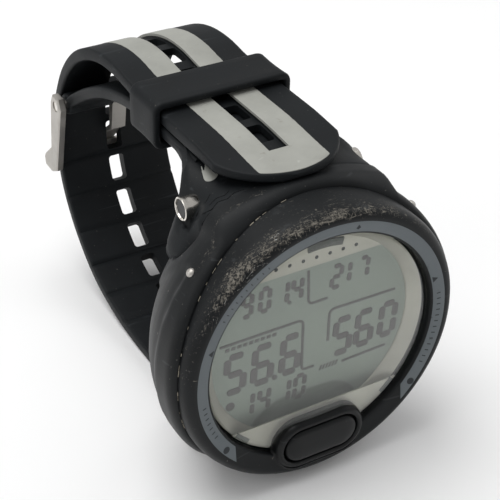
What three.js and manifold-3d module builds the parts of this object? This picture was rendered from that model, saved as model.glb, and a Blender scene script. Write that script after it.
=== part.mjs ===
// A wrist dive computer, resting on the 6 o'clock side of its case and the back of its buckled strap.
//
// Everything is drawn in the dial's frame: +X to 3 o'clock, +Y to 12 o'clock, +Z out of the display.
// The dial group is then stood up, so that the part's own frame has +Z up and the display faces -Y.
import * as THREE from "three";
import { mergeVertices } from "three/addons/utils/BufferGeometryUtils.js";
import Module from "manifold-3d";

const wasm = await Module();
wasm.setup();

// ---- driving dimensions, millimetres ----
const FIT = 0.15; // clearance between pieces that are seated in each other

const CASE_R = 32.5; // round part of the case
const CASE_BACK_Z = -24; // wrist side of the case
const CASE_ARCH_R = 78; // the case front is arched over the wrist, about an axis along X
const CASE_FRONT_Z = -2.2; // top of that arch
const BORE_R = 25.3; // module bore
const BORE_FLOOR_Z = -15.6;
const WELL_R = 16.4; // battery well through the floor
const BACK_R = 21; // recess for the case back
const BACK_RECESS_Z = -22.1;

const LUG_HALF = 20; // half width of the shoulders that carry the strap
const LUG_Y = 32.5; // reach of the shoulders at 12 and 6 o'clock
const LUG_ARC_R = 47.5; // plan radius of their front edge
const LUG_ARC_X = 15; // the corners are rounded from here outwards
const ROOT_Z = -13.8; // where the case shoulder ends and the strap's root begins
const TANG_HALF = 9.6; // half width of the case tang inside the root
const TANG_R = 3;
const PIN_Y = 26.3;
const PIN_Z = -21;
const PIN_R = 1.6;
const PIN_BORE_R = 1.05;

const BEZEL_R = 31;
const BEZEL_IN_R = 25.4;
const BEZEL_SKIRT_IN_R = 27.6;
const BEZEL_UNDER_Z = -1.8;
const INLAY_IN_R = 25.9;
const INLAY_OUT_R = 28.5;
const INLAY_END_X = 19.7; // the printed ring stops each side of the button
const DISH = 0.7; // rise of the bezel's top from its inner to its outer edge

const BUTTON_Y = -22.6;
const BUTTON_W = 17;
const BUTTON_H = 7.6;
const BUTTON_RIM = 2; // housing wall round the button
const COLLAR_OUT = 3.1; // outside of the raised silver collar round that wall
const BUTTON_TOP_Z = 1.7;

const LENS_R = 25;
const LENS_FLANGE_R = 26.8;
const LENS_UNDER_Z = -3.3;
const LENS_TOP_Z = 1.3;
const WINDOW_R = 22.6; // visible part of the display
const WINDOW_TOP_Y = 16.7;
const WINDOW_BOTTOM_Y = -17.5;
const LCD_TOP_Z = -4.7;

const BOARD_Z = -11.2;
const CELL_R = 12.25; // a 24.5 mm coin cell, 3 mm thick
const CELL_H = 3;
const CAP_R = 14.4;

const STRAP_W = 28;
const STRAP_T = 2.7;
const HOLE_W = 3.8;
const HOLE_L = 6.2;
const HOLE_PITCH = 9;
const STRIPE_OUT = 7.8; // half width over the two grey stripes
const STRIPE_IN = 2.2; // half width of the slot between them
const STRIPE_T = 0.7;

const KEEPER_BACK_Z = -51.5;
const KEEPER_L = 11;
const KEEPER_WALL = 1.5;

const BAR_Y = 14.6; // buckle bar
const BAR_Z = -89.6;
const BAR_R = 1.1;
const BUCKLE_HOLE_Y = 0.9; // the strap hole the tongue passes through

// ---- materials ----
const paint = (colour, roughness, metalness = 0) => () =>
  new THREE.MeshStandardMaterial({ color: colour, roughness, metalness });
const blackPlastic = paint(0x1b1d1f, 0.6);
const blackRubber = paint(0x17191b, 0.85);
const greyRubber = paint(0xaeb0ac, 0.75);
const greyPrint = paint(0x646c70, 0.6);
const glassClear = paint(0xcfd8d2, 0.05);
const silver = paint(0xb9b6a8, 0.35, 0.7);
const lcdGlass = paint(0x8e958a, 0.3);
const boardGreen = paint(0x1f5a3a, 0.6);
const steel = paint(0xb4b4b0, 0.3, 1);
const brass = paint(0xb79a55, 0.35, 1);
const whitePlastic = paint(0xd8d8d2, 0.6);

// ---- helpers ----
const ROUND = 36; // facets of the large round pieces
const v2 = (x, y) => new THREE.Vector2(x, y);

// Closed geometry as a manifold solid.
function solid(geometry) {
  const g = geometry.clone();
  g.deleteAttribute("normal");
  g.deleteAttribute("uv");
  const merged = mergeVertices(g, 1e-4);
  return new wasm.Manifold(
    new wasm.Mesh({
      numProp: 3,
      vertProperties: new Float32Array(merged.attributes.position.array),
      triVerts: new Uint32Array(merged.index.array),
    }),
  );
}

// A manifold solid as three.js geometry.
function surface(body) {
  const mesh = body.getMesh();
  const g = new THREE.BufferGeometry();
  g.setAttribute("position", new THREE.BufferAttribute(new Float32Array(mesh.vertProperties), 3));
  g.setIndex(new THREE.BufferAttribute(new Uint32Array(mesh.triVerts), 1));
  g.computeVertexNormals();
  return g;
}

const join = (first, ...rest) => rest.reduce((a, b) => a.add(b), first);
const cut = (first, ...rest) => rest.reduce((a, b) => a.subtract(b), first);

// A solid turned about Z from a closed [radius, z] profile, listed upwards on its outside.
function turned(profile, x = 0, y = 0, segments = 24) {
  const points = profile.map(([r, z]) => v2(r, z));
  if (profile[0][0] > 0) points.push(points[0].clone());
  return solid(new THREE.LatheGeometry(points, segments).rotateX(Math.PI / 2).translate(x, y, 0));
}

const disc = (r, z0, z1, x = 0, y = 0, segments = 24) =>
  turned([[0, z0], [r, z0], [r, z1], [0, z1]], x, y, segments);

const ring = (r0, r1, z0, z1, segments = ROUND) =>
  turned([[r0, z0], [r1, z0], [r1, z1], [r0, z1]], 0, 0, segments);

// A plan outline raised from z0 to z1.
function raised(shape, z0, z1, curveSegments = 8) {
  const g = new THREE.ExtrudeGeometry(shape, { depth: z1 - z0, bevelEnabled: false, curveSegments });
  return solid(g.translate(0, 0, z0));
}

function block(x0, x1, y0, y1, z0, z1) {
  const g = new THREE.BoxGeometry(x1 - x0, y1 - y0, z1 - z0);
  return solid(g.translate((x0 + x1) / 2, (y0 + y1) / 2, (z0 + z1) / 2));
}

// A side outline, drawn in Y and Z, spread from x0 to x1 along X with softened edges.
function spread(points, x0, x1, edge = 0) {
  const g = new THREE.ExtrudeGeometry(new THREE.Shape(points), {
    depth: x1 - x0 - 2 * edge,
    bevelEnabled: edge > 0,
    bevelThickness: edge,
    bevelSize: edge,
    bevelOffset: -edge,
    bevelSegments: 1,
    curveSegments: 8,
  });
  const toSide = new THREE.Matrix4().makeBasis(
    new THREE.Vector3(0, 1, 0),
    new THREE.Vector3(0, 0, 1),
    new THREE.Vector3(1, 0, 0),
  );
  return solid(g.applyMatrix4(toSide).translate(x0 + edge, 0, 0));
}

// A plan outline, drawn in X and Z, spread from y0 to y1.
function laid(shape, y0, y1, curveSegments = 16) {
  const g = new THREE.ExtrudeGeometry(shape, { depth: y1 - y0, bevelEnabled: false, curveSegments });
  const lay = new THREE.Matrix4().makeBasis(
    new THREE.Vector3(1, 0, 0),
    new THREE.Vector3(0, 0, 1),
    new THREE.Vector3(0, -1, 0),
  );
  return solid(g.applyMatrix4(lay).translate(0, y1, 0));
}

// A cylinder along X.
const rod = (r, x0, x1, y, z, segments = 16) =>
  solid(
    new THREE.CylinderGeometry(r, r, x1 - x0, segments)
      .rotateZ(Math.PI / 2)
      .translate((x0 + x1) / 2, y, z),
  );

// The outline of the button, grown by a margin.
function capsule(margin) {
  const r = BUTTON_H / 2 + margin;
  const c = (BUTTON_W - BUTTON_H) / 2;
  const s = new THREE.Shape();
  s.absarc(c, BUTTON_Y, r, -Math.PI / 2, Math.PI / 2);
  s.absarc(-c, BUTTON_Y, r, Math.PI / 2, (3 * Math.PI) / 2);
  s.closePath();
  return s;
}

// A round outline of radius r cut off straight at the top and bottom.
function roundedWindow(r, top, bottom) {
  const s = new THREE.Shape();
  s.absarc(0, 0, r, Math.asin(bottom / r), Math.asin(top / r));
  s.absarc(0, 0, r, Math.PI - Math.asin(top / r), Math.PI - Math.asin(bottom / r));
  s.closePath();
  return s;
}

function part(name, body, material) {
  const mesh = new THREE.Mesh(body instanceof THREE.BufferGeometry ? body : surface(body), material());
  mesh.name = name;
  return mesh;
}

// Both ends of the object, 12 o'clock and 6 o'clock.
const turnRound = (body) => body.rotate([0, 0, 180]);

// ---- case ----

// Everything below the arch of the case front, lifted by a gap.
function belowArch(gap) {
  const reach = 40;
  const r = CASE_ARCH_R + gap;
  const centre = CASE_FRONT_Z - CASE_ARCH_R;
  const a = Math.asin(reach / r);
  const s = [v2(-reach, -60), v2(reach, -60)];
  const steps = 16;
  for (let i = 0; i <= steps; i++) {
    const t = a - (2 * a * i) / steps;
    s.push(v2(r * Math.sin(t), centre + r * Math.cos(t)));
  }
  return spread(s, -reach, reach);
}

// Plan of the 12 o'clock shoulder that carries the strap, drawn in by a margin.
function shoulderPlan(margin = 0) {
  const centre = LUG_Y - LUG_ARC_R;
  const r = LUG_ARC_R - margin;
  const a = Math.asin(LUG_ARC_X / r);
  const s = new THREE.Shape();
  s.moveTo(-LUG_HALF, 0);
  s.lineTo(LUG_HALF, 0);
  s.lineTo(LUG_HALF, 23.5);
  s.quadraticCurveTo(LUG_HALF - 0.3, centre + r * Math.cos(a) - 1.6, r * Math.sin(a), centre + r * Math.cos(a));
  s.absarc(0, centre, r, Math.PI / 2 - a, Math.PI / 2 + a);
  s.quadraticCurveTo(-LUG_HALF + 0.3, centre + r * Math.cos(a) - 1.6, -LUG_HALF, 23.5);
  s.closePath();
  return s;
}

// What is taken off one shoulder to seat the root of the strap.
function rootSeat() {
  const cheek = (x0, x1) => block(x0, x1, PIN_Y - TANG_R - 1.6, 40, CASE_BACK_Z - 5, ROOT_Z);
  const cover = block(-LUG_HALF - 1, LUG_HALF + 1, PIN_Y + TANG_R + 0.1, 40, CASE_BACK_Z - 5, ROOT_Z);
  return join(cheek(-40, -TANG_HALF), cheek(TANG_HALF, 40), cover);
}

function caseBody() {
  const flank = turned([
    [0, CASE_BACK_Z],
    [CASE_R - 7.4, CASE_BACK_Z],
    [CASE_R - 3.8, -19.5],
    [CASE_R - 1.3, -15],
    [CASE_R, -10],
    [CASE_R, -4.6],
    [CASE_R - 0.5, -3.1],
    [CASE_R - 1.4, CASE_FRONT_Z],
    [0, CASE_FRONT_Z],
  ], 0, 0, ROUND);
  const shoulder = raised(shoulderPlan(), CASE_BACK_Z, -9);
  const shoulders = join(shoulder, turnRound(shoulder));
  const outside = join(flank, shoulders).intersect(belowArch(0));
  const collar = disc(BEZEL_SKIRT_IN_R - 0.4, -12, -4.4, 0, 0, ROUND);
  const studs = [STUD_ANGLE, 180 - STUD_ANGLE].map((angle) =>
    rod(STUD_R + FIT, STUD_IN_R - 0.3, 40, 0, STUD_Z, 12).rotate([0, 0, angle]),
  );
  const pinHoles = [1, -1].map((end) => rod(PIN_R + FIT, -30, 30, end * PIN_Y, PIN_Z));
  const screwHoles = backScrewPlaces().map(([x, y]) => disc(0.95, -23, -18.5, x, y, 8));
  return cut(
    join(outside, collar),
    disc(BEZEL_SKIRT_IN_R, -4.4, 10, 0, 0, ROUND),
    disc(BORE_R, BORE_FLOOR_Z, 10, 0, 0, ROUND),
    disc(WELL_R, -30, 0),
    disc(BACK_R, -30, BACK_RECESS_Z),
    ring(16.9, 17.9, BACK_RECESS_Z - 1, BACK_RECESS_Z + 0.7),
    rootSeat(),
    turnRound(rootSeat()),
    disc(1, -30, 0, SENSOR_X, SENSOR_Y, 16),
    ...studs,
    ...pinHoles,
    ...screwHoles,
  );
}

const STUD_ANGLE = 40; // from 3 o'clock, and the same from 9 o'clock
const STUD_R = 0.95;
const STUD_IN_R = 28.8;
const STUD_Z = -8.6;

// Steel water contact standing out of the case flank.
function waterContact(angle) {
  const shank = rod(STUD_R, STUD_IN_R, CASE_R + 0.3, 0, STUD_Z, 12);
  const head = rod(STUD_R * 0.7, STUD_IN_R, CASE_R + 0.7, 0, STUD_Z, 12);
  return join(shank, head).rotate([0, 0, angle]);
}

// The ring seat is cut into the bezel and the printed ring lies in it; both share this profile.
function dishedRing(r0, r1, depth, lift, endX) {
  const top = (r) => DISH * ((r - BEZEL_IN_R) / (28.7 - BEZEL_IN_R)) + lift;
  const whole = turned([[r0, top(r0) - depth], [r1, top(r1) - depth], [r1, top(r1)], [r0, top(r0)]], 0, 0, ROUND);
  return cut(whole, block(-endX, endX, -40, 0, -5, 5));
}

function bezel() {
  const skirt = turned([
    [BEZEL_SKIRT_IN_R, -14],
    [BEZEL_R, -14],
    [BEZEL_R, -2.2],
    [BEZEL_R - 0.3, -1.1],
    [BEZEL_R - 0.9, -0.2],
    [BEZEL_R - 1.6, 0.45],
    [28.7, DISH],
    [BEZEL_IN_R, 0],
    [BEZEL_IN_R, BEZEL_UNDER_Z],
    [BEZEL_SKIRT_IN_R, BEZEL_UNDER_Z],
  ], 0, 0, ROUND);
  const housing = raised(capsule(BUTTON_RIM), -4, 0.9);
  const lip = raised(capsule(BUTTON_RIM - 0.8), 0.5, 1.3);
  return cut(
    join(skirt, housing, lip).intersect(disc(BEZEL_R, -14, 5, 0, 0, ROUND)),
    belowArch(FIT),
    dishedRing(INLAY_IN_R - FIT, INLAY_OUT_R + FIT, 1.2, 0.6, INLAY_END_X - FIT),
    raised(capsule(0.3), -2.4, 5),
    disc(STEM_R + FIT, -6, 5, 0, BUTTON_Y, 20),
  );
}

const bezelInlay = () => dishedRing(INLAY_IN_R, INLAY_OUT_R, 0.45, 0, INLAY_END_X);

function lens() {
  const steps = 6;
  const crown = Array.from({ length: steps + 1 }, (_, i) => {
    const r = LENS_R * (1 - i / steps);
    return [r, LENS_TOP_Z - 2 * (r / LENS_R) ** 2];
  });
  const whole = turned([
    [0, LENS_UNDER_Z],
    [LENS_FLANGE_R, LENS_UNDER_Z],
    [LENS_FLANGE_R, BEZEL_UNDER_Z - FIT],
    [LENS_R, BEZEL_UNDER_Z - FIT],
    ...crown,
  ], 0, 0, ROUND);
  return cut(whole, raised(capsule(COLLAR_OUT + 0.3), -10, 10));
}

const lensGasket = () =>
  cut(ring(25.6, 26.9, -4.25, LENS_UNDER_Z - FIT), raised(capsule(BUTTON_RIM + 0.3), -10, 10));

// ---- display and electronics ----

// Silver surround of the display, with a collar that rises round the button's housing.
function displayMask() {
  const window = cut(
    raised(roundedWindow(WINDOW_R, WINDOW_TOP_Y, WINDOW_BOTTOM_Y), -8, 0, 20),
    raised(capsule(COLLAR_OUT + 0.8), -8, 0),
  );
  const plate = cut(disc(LENS_R - FIT, -4.45, LENS_UNDER_Z - FIT, 0, 0, ROUND), window);
  const collar = raised(capsule(COLLAR_OUT), -4.4, -0.7).intersect(disc(LENS_R - FIT, -9, 5, 0, 0, ROUND));
  return cut(join(plate, collar), raised(capsule(BUTTON_RIM + 0.3), -9, 5));
}

const lcdPanel = () => raised(roundedWindow(24.4, 17.9, -18.4), LCD_TOP_Z - 1.6, LCD_TOP_Z, 20);
const backlight = () => raised(roundedWindow(22.5, 14, -17.5), -7.6, -6.6, 16);
const elastomerStrip = () => block(-16, 16, 15.2, 16.8, BOARD_Z + 1.15, LCD_TOP_Z - 1.75);

function chassis() {
  return cut(
    ring(22.8, BORE_R - 0.3, BOARD_Z + 1.15, LCD_TOP_Z - 1.75),
    disc(3.4, -20, 0, 0, BUTTON_Y, 24),
    block(-16.3, 16.3, 14.9, 17.1, -20, 0),
  );
}

const circuitBoard = () => disc(BORE_R - 0.4, BOARD_Z, BOARD_Z + 1);
const processorChip = () => block(-11, -3, 0, 8, BOARD_Z + 1.1, BOARD_Z + 2.3);
const memoryChip = () => block(3, 8, 2, 7, BOARD_Z + 1.1, BOARD_Z + 2.1);
const buzzer = () => disc(6.5, -14.4, BOARD_Z - 0.1, -14, -12);

const SENSOR_X = 16.6;
const SENSOR_Y = -9.6;
const pressureSensor = () =>
  turned([[0, -15.3], [2.6, -15.3], [2.6, -13], [3.6, -13], [3.6, BOARD_Z - 0.1], [0, BOARD_Z - 0.1]], SENSOR_X, SENSOR_Y, 24);

const CELL_Z = -19.6; // lower face of the coin cell
const coinCell = () =>
  turned([
    [0, CELL_Z],
    [CELL_R - 0.4, CELL_Z],
    [CELL_R, CELL_Z + 0.4],
    [CELL_R, CELL_Z + CELL_H - 0.7],
    [CELL_R - 1.2, CELL_Z + CELL_H],
    [0, CELL_Z + CELL_H],
  ]);

// Sprung strip from the board down to the middle of the cell.
function contactMinus() {
  const top = BOARD_Z - 0.1;
  const low = CELL_Z + CELL_H + FIT;
  return spread([v2(-6, top), v2(-6, top - 0.4), v2(-1.5, low), v2(1.5, low), v2(1.5, low + 0.4), v2(-1, low + 0.4), v2(-4.6, top)], -1.5, 1.5);
}

// Sprung strip from the board down to the rim of the cell.
function contactPlus() {
  const top = BOARD_Z - 0.1;
  const x = CELL_R + 0.5;
  return join(block(x, x + 0.4, -2, 2, CELL_Z + 0.6, top), block(x, x + 3, -2, 2, top - 0.4, top));
}

// ---- case back ----

function backScrewPlaces() {
  const r = 19.3;
  return [45, 135, 225, 315].map((d) => {
    const a = (d * Math.PI) / 180;
    return [r * Math.cos(a), r * Math.sin(a)];
  });
}

function caseBack() {
  const plate = turned([
    [CAP_R + 0.4, BACK_RECESS_Z - 2.7],
    [BACK_R - 1, BACK_RECESS_Z - 2.7],
    [BACK_R - 0.3, BACK_RECESS_Z - 2],
    [BACK_R - 0.3, BACK_RECESS_Z - FIT],
    [CAP_R + 0.4, BACK_RECESS_Z - FIT],
  ], 0, 0, ROUND);
  const holes = backScrewPlaces().map(([x, y]) =>
    join(disc(0.95, -30, -20, x, y, 8), disc(1.5, -30, BACK_RECESS_Z - 1.5, x, y, 12)),
  );
  return cut(plate, disc(1, -30, 0, SENSOR_X, SENSOR_Y, 16), ...holes);
}

const caseBackGasket = () => ring(17.1, 17.7, BACK_RECESS_Z - 0.05, BACK_RECESS_Z + 0.6);

function caseBackScrew([x, y]) {
  const head = BACK_RECESS_Z - 1.5;
  const body = turned([[0, head - 0.9], [1.3, head - 0.9], [1.3, head - FIT], [0.7, head - FIT], [0.7, -18.8], [0, -18.8]], x, y, 10);
  return cut(body, block(x - 2, x + 2, y - 0.2, y + 0.2, head - 1.5, head - 0.5));
}

// Bayonet cap over the cell, with a coin slot.
function batteryCap() {
  const top = CELL_Z - 0.2;
  const groove = top - 1.6;
  const body = turned([
    [0, -25],
    [CAP_R - 0.5, -25],
    [CAP_R, -24.5],
    [CAP_R, groove - 0.7],
    [CAP_R - 1, groove - 0.7],
    [CAP_R - 1, groove + 0.7],
    [CAP_R, groove + 0.7],
    [CAP_R, top],
    [0, top],
  ], 0, 0, ROUND);
  return cut(body, block(-9, 9, -0.9, 0.9, -27, -23.6));
}

function batteryCapSeal() {
  const z = CELL_Z - 1.8;
  return ring(CAP_R - 0.9, CAP_R + 0.2, z - 0.5, z + 0.5);
}

// ---- mode button ----

const STEM_R = 1.4;

function buttonCap() {
  const lower = raised(capsule(0), -1.2, BUTTON_TOP_Z - 0.9);
  const middle = raised(capsule(-0.35), -1, BUTTON_TOP_Z - 0.4);
  const crown = raised(capsule(-1), -1, BUTTON_TOP_Z);
  return cut(join(lower, middle, crown), disc(STEM_R + 0.1, -3, -0.5, 0, BUTTON_Y, 20));
}

function buttonStem() {
  const groove = -5.4;
  return turned([
    [0, -8.1],
    [STEM_R, -8.1],
    [STEM_R, groove - 0.5],
    [STEM_R - 0.5, groove - 0.5],
    [STEM_R - 0.5, groove + 0.5],
    [STEM_R, groove + 0.5],
    [STEM_R, -0.6],
    [0, -0.6],
  ], 0, BUTTON_Y, 20);
}

const buttonSeal = () =>
  turned([[STEM_R - 0.4, -5.8], [STEM_R + 0.9, -5.8], [STEM_R + 0.9, -5], [STEM_R - 0.4, -5]], 0, BUTTON_Y, 24);

const modeSwitch = () =>
  join(block(-2.2, 2.2, BUTTON_Y - 1.9, BUTTON_Y + 1.9, BOARD_Z + 1.1, BOARD_Z + 1.7), disc(1.2, BOARD_Z + 1.6, BOARD_Z + 2.1, 0, BUTTON_Y, 16));

// ---- strap ----

const NECK_Z = -35; // where the root has narrowed to the strap

// Middle lines of the two straps, in Y and Z, from the case outwards.
const longLine = new THREE.SplineCurve([
  v2(-31.25, -27), v2(-31.25, -34), v2(-31.25, -42), v2(-31.25, -50), v2(-30.9, -58), v2(-29.6, -67),
  v2(-26.6, -76), v2(-21.9, -83), v2(-15.6, -89.1), v2(-7.9, -93.6), v2(1.2, -95.4), v2(11, -95),
  v2(19, -91.8), v2(25, -87.6), v2(29.7, -82.4), v2(33, -76.2), v2(34.9, -69.4), v2(35.3, -62.5),
  v2(34.6, -56), v2(34.2, -50), v2(34.2, -40), v2(34.2, -25), v2(34.2, -9.6),
]);
const shortLine = new THREE.SplineCurve([
  v2(30.9, -27), v2(31.1, -34), v2(31.1, -46), v2(30.7, -54), v2(29.2, -62), v2(26.6, -70),
  v2(22.6, -78), v2(17.6, -85.6), v2(BAR_Y + 0.4, BAR_Z + 0.8),
]);
const LONG_STEPS = 36;
const SHORT_STEPS = 14;

// Points along a line, each moved sideways; positive is to the left of travel.
function offsetLine(line, steps, side, from = 0, to = 1) {
  const points = [];
  for (let i = 0; i <= steps; i++) {
    const u = from + ((to - from) * i) / steps;
    const p = line.getPointAt(u);
    const t = line.getTangentAt(u);
    points.push(v2(p.x - t.y * side, p.y + t.x * side));
  }
  return points;
}

// A strip of a line between two sideways distances.
function strip(line, steps, near, far, half, from = 0, to = 1, edge = 0) {
  const a = offsetLine(line, steps, near, from, to);
  const b = offsetLine(line, steps, far, from, to).reverse();
  return spread([...a, ...b], -half, half, edge);
}

// A box across the strap at a distance along its middle line.
function across(line, distance, halfX, halfAlong, near, far) {
  const u = distance / line.getLength();
  const p = line.getPointAt(u);
  const t = line.getTangentAt(u);
  const g = new THREE.BoxGeometry(2 * halfX, 2 * halfAlong, far - near);
  g.translate(0, 0, (near + far) / 2);
  const along = new THREE.Vector3(0, t.x, t.y);
  const left = new THREE.Vector3(0, -t.y, t.x);
  const frame = new THREE.Matrix4().makeBasis(new THREE.Vector3(1, 0, 0), along, left);
  if (frame.determinant() < 0) frame.makeBasis(new THREE.Vector3(-1, 0, 0), along, left);
  return solid(g.applyMatrix4(frame).translate(0, p.x, p.y));
}

// Root of a strap at 12 o'clock: it carries on the shoulder of the case, with two cheeks round the
// pin and a cover over the tang, and ends in a neck that meets the flat of the strap.
function strapRoot() {
  const side = spread([
    v2(CASE_R + 1, ROOT_Z - 0.3),
    v2(PIN_Y + 3, ROOT_Z - 0.3),
    v2(PIN_Y - 3.4, ROOT_Z - 3.4),
    v2(PIN_Y - 3.9, PIN_Z),
    v2(PIN_Y - 1.5, PIN_Z - 4),
    v2(PIN_Y + 3.4, PIN_Z - 9.5),
    v2(PIN_Y + 3.4, NECK_Z),
    v2(CASE_R + 1, NECK_Z),
  ], -LUG_HALF + 0.3, LUG_HALF - 0.3);
  const flare = new THREE.Shape();
  const w = STRAP_W / 2;
  flare.moveTo(-LUG_HALF, ROOT_Z);
  flare.lineTo(-LUG_HALF, PIN_Z - 2.4);
  flare.quadraticCurveTo(-w - 2, PIN_Z - 6, -w, NECK_Z - 0.1);
  flare.lineTo(w, NECK_Z - 0.1);
  flare.quadraticCurveTo(w + 2, PIN_Z - 6, LUG_HALF, PIN_Z - 2.4);
  flare.lineTo(LUG_HALF, ROOT_Z);
  flare.closePath();
  const tang = TANG_HALF + 0.3;
  return cut(
    side.intersect(laid(flare, 0, 45, 8)).intersect(raised(shoulderPlan(0.1), -60, 0)),
    block(-tang, tang, 0, PIN_Y + TANG_R + 0.4, PIN_Z - TANG_R - 0.6, 0),
    rod(PIN_R + FIT, -30, 30, PIN_Y, PIN_Z),
  );
}

// Plan of the tail's rounded tip, in X and Z, for a strip of a half width.
function tipPlan(stripHalf, tip, shoulder) {
  const half = stripHalf + 0.02; // just clear of the strip's own sides
  const r = (half * half + shoulder * shoulder) / (2 * shoulder);
  const a = Math.asin(half / r);
  const s = new THREE.Shape();
  s.moveTo(-half, -60);
  s.lineTo(half, -60);
  s.absarc(0, tip - r, r, Math.PI / 2 - a, Math.PI / 2 + a);
  s.closePath();
  return laid(s, 30, 42);
}

const STRIPE_START_Z = -18.2; // front end of the stripes on the short strap
const TAIL_TIP_Z = -10.6;
const TAIL_SHOULDER = 9.5;
const STRIPE_TIP_Z = -11.7;

// Keeps only what lies under a tip plan, where the strap is on the tail side.
function trimTail(body, plan) {
  const zone = block(-40, 40, 30, 42, -59, 0);
  return cut(body, cut(zone, plan));
}

const longLength = longLine.getLength();
const BUCKLE_HOLE_AT = distanceWhere(longLine, (p) => p.y < -90 && p.x > BUCKLE_HOLE_Y);
const STRIPE_FROM = distanceWhere(longLine, (p) => p.x > 23 && p.y > -92) / longLength;

// Distance along a line to the first point that passes a test.
function distanceWhere(line, test) {
  const steps = 2000;
  const points = line.getSpacedPoints(steps);
  return (points.findIndex(test) / steps) * line.getLength();
}

function holeDistances() {
  const first = BUCKLE_HOLE_AT - 5 * HOLE_PITCH;
  const all = [];
  for (let d = first; d < longLength - 13; d += HOLE_PITCH) all.push(d);
  return all;
}

function strapLong() {
  const t = STRAP_T / 2;
  const band = trimTail(strip(longLine, LONG_STEPS, -t, t, STRAP_W / 2, 0, 1, 0.4), tipPlan(STRAP_W / 2, TAIL_TIP_Z, TAIL_SHOULDER));
  const seat = trimTail(
    strip(longLine, LONG_STEPS, -t - 1, -t + STRIPE_T, STRIPE_OUT + FIT, STRIPE_FROM - 0.002, 1),
    tipPlan(STRIPE_OUT + FIT, STRIPE_TIP_Z + FIT, 2.1),
  );
  const holes = holeDistances().map((d) => across(longLine, d, HOLE_W / 2, HOLE_L / 2, -4, 4));
  const grooves = holeDistances()
    .filter((d) => d < BUCKLE_HOLE_AT + HOLE_PITCH)
    .map((d) => across(longLine, d - HOLE_PITCH / 2, STRAP_W, 0.55, t - 0.5, t + 1));
  return cut(join(turnRound(strapRoot()).mirror([1, 0, 0]), band), seat, ...holes, ...grooves);
}

// The two grey stripes of the tail, joined round its tip.
function strapLongInlay() {
  const t = STRAP_T / 2;
  const whole = trimTail(
    strip(longLine, LONG_STEPS, -t, -t + STRIPE_T - FIT, STRIPE_OUT, STRIPE_FROM, 1),
    tipPlan(STRIPE_OUT, STRIPE_TIP_Z, 2.1),
  );
  const slotEnd = 1 - 9.3 / longLength;
  return cut(whole, strip(longLine, LONG_STEPS, -t - 1, 0, STRIPE_IN, 0, slotEnd));
}

function strapShort() {
  const t = STRAP_T / 2;
  const band = strip(shortLine, SHORT_STEPS, -t, t, STRAP_W / 2, 0, 1, 0.4);
  const eye = rod(2.5, -STRAP_W / 2 + 0.4, STRAP_W / 2 - 0.4, BAR_Y, BAR_Z, 24);
  const tongueSlot = block(-2.2, 2.2, BAR_Y - 6, BAR_Y + 6, BAR_Z - 6, BAR_Z + 5);
  const seats = [-1, 1].map((side) => shortStripe(side, FIT));
  return cut(join(strapRoot(), band, eye), rod(BAR_R + FIT, -30, 30, BAR_Y, BAR_Z), tongueSlot, ...seats);
}

// A grey stripe with round ends let into the root of the short strap, beside the tail.
function shortStripe(side, grow) {
  const r = 1.9 + grow;
  const outline = new THREE.Shape();
  outline.absarc(0, STRIPE_START_Z - 1.9, r, 0, Math.PI);
  outline.absarc(0, STRIPE_START_Z - 9, r, Math.PI, 2 * Math.PI);
  outline.closePath();
  const skin = cut(raised(shoulderPlan(0.1 - 2 * grow), -60, 0), raised(shoulderPlan(0.1 + STRIPE_T + grow), -61, 1));
  return laid(outline, 20, 40, 8).translate([side * 12.1, 0, 0]).intersect(skin);
}

function strapPin(end) {
  const length = LUG_HALF + 0.4;
  const profile = [
    [PIN_BORE_R, -length + 0.8],
    [PIN_BORE_R + 0.7, -length],
    [PIN_R + 0.6, -length],
    [PIN_R, -length + 0.5],
    [PIN_R, length - 0.5],
    [PIN_R + 0.6, length],
    [PIN_BORE_R + 0.7, length],
    [PIN_BORE_R, length - 0.8],
  ];
  const tube = turned(profile, 0, 0, 14);
  return tube.rotate([0, 90, 0]).translate([0, end * PIN_Y, PIN_Z]);
}

// ---- keeper and buckle ----

function keeper() {
  const low = 27.4;
  const high = 37.9;
  const outline = (inset, r) => {
    const x = STRAP_W / 2 + 0.35 + KEEPER_WALL - inset;
    const s = new THREE.Shape();
    s.absarc(x - r, low + inset + r, r, -Math.PI / 2, 0);
    s.absarc(x - r, high - inset - r, r, 0, Math.PI / 2);
    s.absarc(-x + r, high - inset - r, r, Math.PI / 2, Math.PI);
    s.absarc(-x + r, low + inset + r, r, Math.PI, (3 * Math.PI) / 2);
    s.closePath();
    return s;
  };
  const front = KEEPER_BACK_Z + KEEPER_L;
  return cut(raised(outline(0, 2), KEEPER_BACK_Z, front, 4), raised(outline(KEEPER_WALL, 0.6), KEEPER_BACK_Z - 1, front + 1, 2));
}

const ARM_IN = STRAP_W / 2 + 0.7;
const ARM_OUT = ARM_IN + 1.8;
const CROSS_Y = -4; // cross piece of the buckle, under the tip of the tongue
const CROSS_Z = -97.1;

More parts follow.
